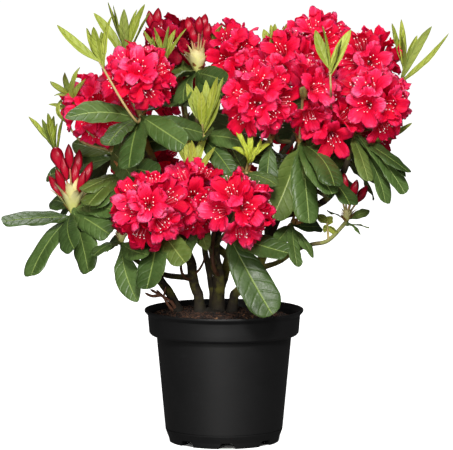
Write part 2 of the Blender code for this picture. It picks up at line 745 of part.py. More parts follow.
def grow_leaf(grown, name, base, tip, rule=False):
    """Tries a leaf, then a little raised, lowered, turned or shortened; skips it if none is clear."""
    run = tip - base
    across = run.cross(UP).normalized()
    for shorter in LEAF_LENGTHS:
        for lift, turn in LEAF_TURNS:
            raised = Matrix.Rotation(math.radians(lift), 3, across) @ run
            way = Matrix.Rotation(math.radians(turn), 3, "Z") @ raised * shorter
            end = base + way
            if way.length > SPACE or rule and not in_crown(end):
                continue
            root = base + way.normalized() * LEAF_ROOT
            facing = leaf_facing(base, end)
            shape = blade(root, end, facing, way.length * LEAF_WIDTH, LEAF_THICK, LEAF_BOW, LEAF_SECTIONS)
            if grown.clear(name, shape, heads=True):
                grown.add(name, "leaf", shape)
                return True
    return False


def grow_candle(grown, name, start, way, path, tips):
    """A new shoot: a thin stem, then a tuft of narrow upright leaves at its end."""
    line = smooth_path([start, *path], steps=1)
    grown.add(name, "twig", tube(line, CANDLE_RADII, 3))
    end = line[-1]
    up = (end - line[-2]).normalized()
    for k, (right, high) in enumerate(tips):
        reach = math.hypot(right, high)
        depth = BLADE_DEPTH * reach * math.sin(BLADE_TURN * k + 0.6)
        tip = end + Vector((right, depth, high))
        inward = up * (tip - end).dot(up) - (tip - end)
        facing = inward if inward.length > 1 else Vector((0, -1, 0))
        foot = end - up * (1 + BLADE_STEP * k)
        shape = blade(foot, tip, facing, BLADE_WIDTH, BLADE_THICK, BLADE_BOW, BLADE_SECTIONS)
        if grown.clear(name, shape):
            grown.add(name, "blade", shape)


def grow_stem(grown, paths, radii, name, plan):
    """The stem of a mass, and what its flower head or its leaves stand on."""
    parent, start = plan["limb"]
    collar = Vector(plan["collar"])
    points = [*plan.get("path", ()), tuple(collar)]
    begin_limb(grown, paths, radii, name, parent, start, TWIG_RADII, points, TWIG_SIDES, steps=1)
    axis = axis_of(plan, paths[name])
    if plan.get("dome"):
        hub = Vector(plan["dome"])
        grown.add(name, "twig", tube([collar - axis * 3, hub], HEAD_STALK_RADII, TWIG_SIDES))
        grown.add(name, "twig", knob(hub, axis))
    elif plan.get("buds"):
        grown.add(name, "cup", cup(collar - UP * 3, UP, plan.get("cup", 1)))
    else:
        grown.add(name, "twig", tube([collar - axis * 4, collar + axis * 9], TIP_RADII, TWIG_SIDES))


def grow_head(grown, name, plan, collars):
    """The open florets or the closed buds of a mass."""
    chance = random.Random(name + " head")
    collar = Vector(plan["collar"])
    for k, (right, up) in enumerate(plan.get("buds", ())):
        depth = BUD_SPREAD * math.sin(2.4 * k + 0.5)
        grown.add(name, "bud", bud(collar + UP * 4, collar + Vector((right, depth, up))))
    if not plan.get("dome"):
        return
    hub = Vector(plan["dome"])
    kept = []
    spacing = math.radians(FLORET_SPACING)
    for out in floret_ways((hub - collar).normalized(), plan.get("faces", ()), chance):
        if any(out.angle(old) < spacing for old in kept):
            continue
        if any((hub + out * FLORET_MIDDLE - other).length < COLLAR_ROOM for other in collars):
            continue
        shape = floret(hub, out, chance.uniform(-0.3, 0.3))
        if grown.clear(name, shape):
            grown.add(name, "floret", shape)
            kept.append(out)


def floret_ways(axis, faces, chance):
    """Which way each floret looks: the chosen ones, then the rest by the golden angle."""
    ways = []
    for right, up in faces:
        ways.append(front_offset((0, 0, 0), right, up, FLORET_REACH - 8, 1).normalized())
    side = axis.orthogonal().normalized()
    other = axis.cross(side)
    for k in range(FLORET_TRIES):
        tilt = math.acos(1 - (k + 0.5) / FLORET_TRIES * DOME_SHARE)
        turn = k * math.radians(137.5) + chance.uniform(-0.2, 0.2)
        around = side * math.cos(turn) + other * math.sin(turn)
        ways.append(axis * math.cos(tilt) + around * math.sin(tilt))
    return ways


def axis_of(plan, stem):
    """The way the shoot of a mass points at its collar."""
    if plan.get("dome"):
        return (Vector(plan["dome"]) - Vector(plan["collar"])).normalized()
    if plan.get("buds"):
        return UP
    return (stem[-1] - stem[-2]).normalized()


def grow_shoots(grown, paths, name, plan):
    """The new growth of a mass: tufts of narrow leaves, or of buds, on thin stems."""
    stem = paths[name]
    collar = stem[-1]
    axis = axis_of(plan, stem)
    for path, tips in plan.get("shoots", ()):
        begin = collar if len(stem) < 4 or path[0][2] > collar.z - 8 else stem[2]
        grow_candle(grown, name, begin, axis, path, tips)
        end = Vector(path[-1])
        for right, up in plan.get("shoot_buds", ()):
            grown.add(name, "bud", bud(end - UP * 3, end + Vector((right, 0, up))))
    if "candle" in plan:
        tips = [(22 * math.sin(2.1 * k), 46 + 8 * math.cos(1.7 * k)) for k in range(6)]
        grow_candle(grown, name, collar, axis, (plan["candle"],), tips)


def grow_chosen_leaves(grown, paths, name, plan):
    """The leaves whose places are listed in the plan."""
    collar = Vector(plan["collar"])
    axis = axis_of(plan, paths[name])
    for k, (right, up, length, forward) in enumerate(plan.get("leaves", ())):
        foot = collar + axis * (LEAF_STEP * (k - 2))
        grow_leaf(grown, name, foot, front_offset(collar, right, up, length, forward))


def grow_whorl(grown, paths, name, plan):
    """The leaves that the rule adds: round the collar by the golden angle, lengths by chance."""
    chance = random.Random(name + " whorl")
    collar = Vector(plan["collar"])
    axis = axis_of(plan, paths[name])
    side = axis.orthogonal().normalized()
    other = axis.cross(side)
    phase = chance.uniform(0, 2 * math.pi)
    for k in range(plan["whorl"]):
        turn = phase + k * math.radians(137.5)
        out = side * math.cos(turn) + other * math.sin(turn) + axis * chance.uniform(-0.1, 0.35) - UP * 0.2
        if "faces" in plan:
            out.y = abs(out.y)
        length = chance.uniform(*WHORL_LENGTHS)
        foot = collar - axis * (LEAF_STEP * (k + 3))
        grow_leaf(grown, name, foot, foot + out.normalized() * length, rule=True)


def signed_volume(faces):
    """Volume that a group of triangles closes in, negative where it is a hollow."""
    return sum(f.verts[0].co.dot(f.verts[1].co.cross(f.verts[2].co)) for f in faces) / 6


def keep_largest_body(mesh):
    """Leaves only the largest closed skin: loose scraps are dropped and sealed hollows filled."""
    edit = bmesh.new()
    edit.from_mesh(mesh)
    left = set(edit.faces)
    groups = []
    while left:
        todo = [left.pop()]
        group = []
        while todo:
            face = todo.pop()
            group.append(face)
            for edge in face.edges:
                for near in edge.link_faces:
                    if near in left:
                        left.remove(near)
                        todo.append(near)
        groups.append(group)
    best = max(groups, key=signed_volume)
    drop = [face for group in groups if group is not best for face in group]
    bmesh.ops.delete(edit, geom=drop, context="FACES")
    edit.to_mesh(mesh)
    edit.free()


def fuse(name, pieces, finish):
    """One object from overlapping pieces, by one Boolean union on a collection."""
    body = add_object(name, *pieces[0], finish)
    if len(pieces) > 1:
        rest = bpy.data.collections.new(name + "_pieces")
        bpy.context.scene.collection.children.link(rest)
        for piece in pieces[1:]:
            extra = add_object(name + "_piece", *piece, finish)
            bpy.context.scene.collection.objects.unlink(extra)
            rest.objects.link(extra)
        union = body.modifiers.new("union", "BOOLEAN")
        union.operation = "UNION"
        union.operand_type = "COLLECTION"
        union.collection = rest
        union.solver = "MANIFOLD"
        apply_modifiers(body)
        for extra in list(rest.objects):
            bpy.data.objects.remove(extra)
        bpy.data.collections.remove(rest)
    keep_largest_body(body.data)
    return body


def apply_modifiers(body):
    graph = bpy.context.evaluated_depsgraph_get()
    made = bpy.data.meshes.new_from_object(body.evaluated_get(graph))
    body.modifiers.clear()
    body.data = made


def make_pot():
    """The turned pot, with its foot ring notched so that it drains."""
    profile = [*POT_OUTSIDE, *POT_INSIDE, *POT_UNDERSIDE]
    pot = add_object("pot", *lathe(profile, POT_SEGMENTS), finish="pot", smooth=POT_SHARP)
    cutters = bpy.data.collections.new("drain_notches")
    bpy.context.scene.collection.children.link(cutters)
    half = NOTCH_WIDTH / 2
    right = ((half, -2), (half, NOTCH_HEIGHT * 0.6), (half * 0.7, NOTCH_HEIGHT))
    outline = [*right, *((-x, z) for x, z in reversed(right))]
    for k in range(NOTCH_COUNT):
        rings = [[(x, y, z) for x, z in outline] for y in (-FOOT_INNER_RADIUS + 6, -FOOT_RADIUS - 8)]
        turn = Matrix.Rotation(math.radians(NOTCH_TURN + 360 / NOTCH_COUNT * k), 3, "Z")
        verts, faces = skin(rings)
        cutter = add_object(f"drain_notch_{k}", [turn @ v for v in verts], faces, "pot")
        bpy.context.scene.collection.objects.unlink(cutter)
        cutters.objects.link(cutter)
    cut = pot.modifiers.new("drain_notches", "BOOLEAN")
    cut.operation = "DIFFERENCE"
    cut.operand_type = "COLLECTION"
    cut.collection = cutters
    apply_modifiers(pot)
    for cutter in list(cutters.objects):
        bpy.data.objects.remove(cutter)
    bpy.data.collections.remove(cutters)
    return pot


def soil_height(x, y):
    """Height of the soil: level round the stems, then falling to a lumpy edge."""
    away = math.hypot(x - SOIL_MIDDLE[0], y - SOIL_MIDDLE[1])
    if away < SOIL_LEVEL_RADIUS:
        return SOIL_CROWN
    lump = SOIL_LUMPS[0] * math.sin(0.11 * x + 1.3) * math.cos(0.13 * y)
    lump += SOIL_LUMPS[1] * math.sin(0.23 * x - 0.19 * y)
    fall = min((away - SOIL_LEVEL_RADIUS) / SOIL_FALL, 1)
    return SOIL_CROWN - (SOIL_CROWN - SOIL_EDGE) * fall + min(lump, SOIL_LUMP_MOST) * fall


def make_soil():
    """The root ball of potting soil, filling the pot to a finger's breadth under its rim."""
    rings = [[(0, 0, FLOOR_TOP + GAP)]]
    turns = [2 * math.pi * k / SOIL_SEGMENTS for k in range(SOIL_SEGMENTS)]
    for radius, height in SOIL_SIDES:
        rings.append([(radius * math.sin(t), -radius * math.cos(t), height) for t in turns])
    for part in reversed(SOIL_RINGS):
        radius = SOIL_RADIUS * part
        flat = [(radius * math.sin(t), -radius * math.cos(t)) for t in turns]
        rings.append([(x, y, soil_height(x, y)) for x, y in flat])
    rings.append([(0, 0, SOIL_CROWN)])
    return add_object("soil", *skin(rings), finish="soil")


def main():
    for old in list(bpy.data.objects):
        bpy.data.objects.remove(old)
    make_pot()
    soil = make_soil()
    keep_largest_body(soil.data)
    grown = Grown()
    paths, radii = grow_limbs(grown)
    for name, plan in MASSES.items():
        grow_stem(grown, paths, radii, name, plan)
    collars = [Vector(plan["collar"]) for plan in MASSES.values()]
    for name, plan in MASSES.items():
        grow_head(grown, name, plan, collars)
    for name, plan in MASSES.items():
        grow_shoots(grown, paths, name, plan)
    for name, plan in MASSES.items():
        grow_chosen_leaves(grown, paths, name, plan)
    for name, plan in MASSES.items():
        grow_whorl(grown, paths, name, plan)
    for name in ("trunk", "stem_outer_left", *LIMBS):
        fuse(name, grown.of(name), "wood")
    for name, plan in MASSES.items():
        finish = "blossom" if plan.get("dome") or plan.get("buds") else "leaf"
        fuse(name, grown.of(name), finish)


main()
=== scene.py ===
import json
import math
import random

import bmesh
import bpy
import numpy as np
from mathutils import Matrix, Vector, noise
from mathutils.bvhtree import BVHTree

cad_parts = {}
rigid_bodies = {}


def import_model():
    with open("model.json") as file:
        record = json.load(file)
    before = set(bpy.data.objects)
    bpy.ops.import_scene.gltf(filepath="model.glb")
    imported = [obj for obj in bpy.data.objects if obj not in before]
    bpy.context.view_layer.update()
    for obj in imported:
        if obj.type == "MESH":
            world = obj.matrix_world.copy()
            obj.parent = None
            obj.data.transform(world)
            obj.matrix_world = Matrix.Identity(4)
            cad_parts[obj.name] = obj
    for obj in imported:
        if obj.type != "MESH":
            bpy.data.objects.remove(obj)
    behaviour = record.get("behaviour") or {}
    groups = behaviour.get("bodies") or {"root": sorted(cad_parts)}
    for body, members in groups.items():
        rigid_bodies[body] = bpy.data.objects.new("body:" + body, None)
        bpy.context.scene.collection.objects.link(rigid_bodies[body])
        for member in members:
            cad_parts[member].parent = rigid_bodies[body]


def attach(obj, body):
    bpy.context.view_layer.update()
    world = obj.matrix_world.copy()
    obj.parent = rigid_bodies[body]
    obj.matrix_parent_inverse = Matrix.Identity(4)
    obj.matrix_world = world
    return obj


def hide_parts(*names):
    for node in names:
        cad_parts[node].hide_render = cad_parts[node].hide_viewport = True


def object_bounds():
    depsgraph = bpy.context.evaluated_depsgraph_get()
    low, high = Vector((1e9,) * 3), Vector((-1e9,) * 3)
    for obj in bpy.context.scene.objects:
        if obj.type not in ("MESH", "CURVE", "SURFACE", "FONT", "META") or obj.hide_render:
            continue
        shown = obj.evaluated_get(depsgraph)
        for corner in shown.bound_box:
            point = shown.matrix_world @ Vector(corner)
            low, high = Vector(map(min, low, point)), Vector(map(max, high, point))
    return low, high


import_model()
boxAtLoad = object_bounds()

mm = 0.001  # every size below is in millimetres unless its note says otherwise
up = Vector((0, 0, 1))
gap = 0.3
goldenTurn = math.radians(137.5)


# Small tools: a wrapped socket for shader and geometry trees, and a pile that meshes are built from.


def sumOf(operation, swapped=False):
    return lambda self, other: self.math(operation, other, swapped)


class Wire:
    # a node's output that takes part in Python sums
    def __init__(self, tree, socket):
        self.tree = tree
        self.socket = socket

    def math(self, operation, other=None, swapped=False):
        pair = [self] if other is None else [other, self] if swapped else [self, other]
        return self.tree.add("ShaderNodeMath", dict(operation=operation), pair)

    def clamp(self):
        return self.tree.add("ShaderNodeClamp", {}, [self])

    __add__, __radd__ = sumOf("ADD"), sumOf("ADD", True)
    __sub__, __rsub__ = sumOf("SUBTRACT"), sumOf("SUBTRACT", True)
    __mul__, __rmul__ = sumOf("MULTIPLY"), sumOf("MULTIPLY", True)
    __truediv__, __pow__ = sumOf("DIVIDE"), sumOf("POWER")


class Tree:
    # a node tree whose nodes are added by one method
    def __init__(self, tree):
        self.tree = tree

    def add(self, kind, settings, sockets=(), out=0):
        # settings first, then the sockets by place or by name: values or wires
        node = self.tree.nodes.new(kind)
        for name, value in settings.items():
            if name == "stops":
                self.setStops(node.color_ramp.elements, value)
            else:
                setattr(node, name, value)
        for key, value in sockets.items() if isinstance(sockets, dict) else enumerate(sockets):
            if isinstance(value, Wire):
                self.tree.links.new(value.socket, node.inputs[key])
            else:
                node.inputs[key].default_value = value
        return Wire(self, node.outputs[out])

    def parts(self, wire):
        # the three parts of a vector
        first = self.add("ShaderNodeSeparateXYZ", {}, [wire])
        return [Wire(self, socket) for socket in first.socket.node.outputs]

    def setStops(self, elements, stops):
        while len(elements) < len(stops):
            elements.new(0.5)
        for element, (place, colour) in zip(elements, stops):
            element.position = place
            element.color = (*colour, 1)

    def mix(self, share, first, second):
        # colours only
        first, second = [(*colour, 1) if isinstance(colour, tuple) else colour for colour in (first, second)]
        return self.add("ShaderNodeMix", dict(data_type="RGBA"), {0: share, 6: first, 7: second}, 2)


class Finish(Tree):
    # a material: plain numbers go on its own sockets, wires are fed in afterwards
    def __init__(self, name, **plain):
        self.made = bpy.data.materials.new(name)
        self.made.use_nodes = True
        super().__init__(self.made.node_tree)
        self.shader = self.tree.nodes["Principled BSDF"]
        for key, value in plain.items():
            self.shader.inputs[key.replace("_", " ")].default_value = value

    def feed(self, socket, wire):
        self.tree.links.new(wire.socket, self.shader.inputs[socket])

    def noise(self, scale, detail=2.0, roughness=0.5, place=None):
        place = place or self.place()
        return self.add("ShaderNodeTexNoise", {}, dict(Vector=place, Scale=scale, Detail=detail, Roughness=roughness))

    def place(self):
        # Object coordinates, in metres
        return self.add("ShaderNodeTexCoord", {}, (), 3)

    def attribute(self, name):
        return self.add("ShaderNodeAttribute", dict(attribute_name=name), (), 2)

    def across(self):
        # the piece's own UV map, as (across, along)
        return self.parts(self.add("ShaderNodeUVMap", {}))[:2]

    def done(self, colour, roughness, height=None, strength=0.5, distance=0.0005):
        # the finished material; the relief's distance is in metres
        self.feed("Base Color", colour)
        self.feed("Roughness", roughness)
        if height:
            sockets = dict(Height=height, Strength=strength, Distance=distance)
            self.feed("Normal", self.add("ShaderNodeBump", {}, sockets))
        return self.made


class Pile:
    # rings, sheets and loose faces gathered into one mesh, in millimetres
    def __init__(self):
        self.verts = []
        self.faces, self.slots, self.maps = [{4: [], 3: []} for _ in range(3)]  # quads and triangles apart
        self.marks = {}
        self.count = 0

    def points(self, verts, **marks):
        # adds points and returns the number of the first; marks are attributes with one value a point
        verts = np.asarray(verts, float).reshape(-1, 3)
        first = self.count
        self.verts.append(verts)
        self.count += len(verts)
        for name, values in marks.items():
            self.marks.setdefault(name, []).append((first, np.ravel(values)))
        return first

    def addFaces(self, corners, slot, maps=None):
        # corners are grids of point numbers, one grid for each corner of the faces; maps are their UV places
        size = len(corners)
        faces = np.stack(corners, -1).reshape(-1, size)
        self.faces[size].append(faces)
        self.slots[size].append(np.broadcast_to(slot, len(faces)))
        self.maps[size].append(np.zeros((*faces.shape, 2)) if maps is None else np.stack(maps, -2).reshape(-1, size, 2))

    def addRings(self, grid, ends, slot=0, maps=None, **marks):
        # rings of points joined into a closed body; two more points close its ends
        sides = grid.shape[1]
        index = self.points(grid, **marks) + np.arange(grid.shape[0] * sides).reshape(-1, sides)
        caps = self.points(ends, **{name: np.ravel(values)[[0, -1]] for name, values in marks.items()})
        after = np.roll(index, -1, axis=1)
        self.addFaces([index[:-1], after[:-1], after[1:], index[1:]], slot, maps)
        low, high = (slot[0], slot[-1]) if np.ndim(slot) else (slot, slot)
        self.addFaces([after[0], index[0], np.full(sides, caps)], low)
        self.addFaces([index[-1], after[-1], np.full(sides, caps + 1)], high)

    def build(self, name, finishes, sharp):
        verts = np.concatenate(self.verts) * mm
        quads, tris = [np.concatenate([np.zeros((0, size), int), *self.faces[size]]) for size in (4, 3)]
        mesh = bpy.data.meshes.new(name)
        mesh.vertices.add(len(verts))
        mesh.vertices.foreach_set("co", verts.ravel())
        mesh.loops.add(quads.size + tris.size)
        mesh.loops.foreach_set("vertex_index", np.concatenate([quads.ravel(), tris.ravel()]))
        mesh.polygons.add(len(quads) + len(tris))
        starts = np.concatenate([4 * np.arange(len(quads)), quads.size + 3 * np.arange(len(tris))])
        mesh.polygons.foreach_set("loop_start", starts)
        mesh.polygons.foreach_set("material_index", np.concatenate([*self.slots[4], *self.slots[3]]).astype(int))
        places = np.concatenate([part.ravel() for part in self.maps[4] + self.maps[3]])
        mesh.uv_layers.new(name="map").data.foreach_set("uv", places)
        for key, blocks in self.marks.items():
            values = np.zeros(len(verts))
            for first, block in blocks:
                values[first:first + len(block)] = block
            mesh.attributes.new(key, "FLOAT", "POINT").data.foreach_set("value", values)
        for finish in finishes:
            mesh.materials.append(finish)
        mesh.update(calc_edges=True)
        mesh.validate()
        mesh.shade_smooth()
        if sharp:
            mesh.set_sharp_from_angle(angle=math.radians(sharp))
        return stood(name, mesh)


def stood(name, data):
    # a new object in the scene
    made = bpy.data.objects.new(name, data)
    bpy.context.scene.collection.objects.link(made)
    return made


def hand(piece, slot, *nodes):
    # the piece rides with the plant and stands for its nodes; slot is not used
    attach(piece, "root")
    if nodes:
        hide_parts(*nodes)
    print(f"{piece.name}: {sum(len(face.vertices) - 2 for face in piece.data.polygons)} triangles")
    return piece


def turnsOf(count):
    return np.linspace(0, 2 * math.pi, count, endpoint=False)


def unit(vectors):
    return vectors / np.maximum(np.linalg.norm(vectors, axis=-1, keepdims=True), 1e-9)


def smoothStep(low, high, value):
    share = np.clip((value - low) / (high - low), 0, 1)
    return share * share * (3 - 2 * share)


# What the coarse rule is driven by. These are the source's own sizes, in millimetres and degrees.
soil = dict(
    crown=188, edge=179, middle=(-25, 12), level=58, fall=45, radius=106.8, floor=12.3,
    sides=((80.6, 12.3), (95.1, 157.1), (105.3, 162.4)),  # (radius, height), just inside the pot's wall
    rings=46, around=150, lump=1.5, grain=0.9,
)
rootCrown = dict(middle=(-16, 15), sides=14, line=12, flare=((0, 27, 22), (4, 23, 19), (12, 19, 16), (21, 16, 14)))
limbSizes = dict(
    trunkStub=32, sideStub=14, sides=6, twig=(3.2, 2.8), twigSides=5, outerSides=8, headStalk=(3.6, 4.4),
    tip=(3.8, 2.8),
    candle=(2.6, 2.0),
)
leaf = dict(
    width=0.38, thick=2.2, bow=0.07, step=2.4, root=-2.5, lengths=(1, 0.88, 0.76),
    turns=((0, 0), (8, 0), (-8, 0), (0, 9), (0, -9), (14, 8), (-14, -8)),  # (lift, turn)
    sections=((0.14, 0.14), (0.62, 1.0)), whorlLengths=(92, 116),
)
tuft = dict(width=13, thick=2.2, sections=((0.5, 1.0),), bow=-0.04, step=3)
floret = dict(reach=55, lobe=28, middle=35, cup=0.7, spacing=46, tries=14, domeShare=1.25, foot=3)
bud = dict(length=38, radius=6.2, stalk=1.6, spread=20)
cup = dict(radius=13, heights=(12, 34))
fillers = dict(tries=34, spacing=33, chosen=26, size=(0.9, 1.0), collarRoom=26, room=27)  # scene only
crown = dict(low=292, half=(312, 246), space=170, collarRoom=32)
knobRadius = 10
clearance = 0.6

limbs = {
    "stem_left": (
        "trunk", 0, (8.6, 6.4), ((-37, 8, 213), (-45, 3, 238), (-48, -4, 262), (-60, -22, 293), (-72, -34, 330)),
    ),
    "stem_thin": (
        "trunk", 0, (7.0, 4.2),
        ((-17, 22, 214), (-23, 22, 252), (-28, 20, 278), (-31, 15, 330), (-37, 6, 400), (-39, 6, 460)),
    ),
    "stem_middle": (
        "trunk", 0, (10.4, 5.0),
        ((-8, 10, 216), (-7, 5, 236), (-10, 1, 252), (-14, -10, 285), (-4, -30, 330), (12, -52, 385), (34, -72, 420)),
    ),
    "stem_right": ("trunk", 0, (7.0, 6.0), ((15, 8, 213), (48, -2, 252), (65, -8, 296), (77, -14, 328))),
    "stem_rear": ("trunk", 0, (7.4, 5.6), ((-6, 42, 216), (7, 62, 262), (17, 70, 312), (20, 68, 345), (20, 62, 372))),
    "bough_low_left": ("stem_left", 2, (4.4, 3.2), ((-83, -24, 245), (-112, -62, 262), (-134, -94, 282))),
    "bough_left": ("stem_left", 4, (5.0, 3.8), ((-98, -36, 312), (-150, -50, 318), (-188, -57, 322))),
    "bough_upper_left": ("stem_left", -1, (6.2, 4.4), ((-86, -54, 375), (-104, -84, 425), (-112, -98, 448))),
    "bough_low_right": ("stem_right", 2, (4.2, 3.4), ((78, -10, 262), (100, -18, 279))),
    "bough_right": (
        "stem_right", -1, (5.6, 4.2), ((112, -18, 337), (150, -26, 358), (172, -40, 398), (180, -52, 424)),
    ),
    "bough_centre_right": (
        "stem_right", 3, (4.8, 3.8), ((62, 8, 330), (74, 0, 366), (94, -26, 394), (104, -50, 412)),
    ),
    "bough_top_centre": ("stem_rear", -1, (5.4, 4.2), ((18, 50, 414), (12, 42, 456))),
    "bough_top_right": ("stem_rear", 3, (5.2, 4.0), ((58, 58, 380), (98, 48, 432), (118, 45, 472))),
    "bough_top_left": ("stem_rear", 3, (5.0, 4.0), ((-22, 84, 372), (-48, 84, 430))),
    "bough_rear_left": (
        "stem_rear", 2, (5.0, 3.8), ((-38, 94, 298), (-80, 112, 348), (-97, 114, 378), (-104, 114, 402)),
    ),
    "bough_rear_right": (
        "stem_rear", 2, (5.0, 3.8), ((52, 94, 322), (92, 114, 372), (112, 118, 398), (122, 120, 420)),
    ),
}
# The outer stem has its own foot in the soil, beside the others.
outerStem = (
    (-68, 10, soil["crown"] + gap), (-77, 5, 212), (-92, -3, 235), (-108, -6, 262), (-128, -8, 305), (-142, -12, 350),
    (-151, -15, 385),
)
outerStemBefore = (-64, 12, 170)
outerStemRadii = (6.8, 4.2)
deadTwigs = (
    ((-71, 6, 192), (-76, -8, 204), (-92, -22, 216), (-106, -30, 225)),
    ((-92, -22, 216), (-104, -20, 214), (-114, -22, 219)),
)
deadTwigRadius = 2.6

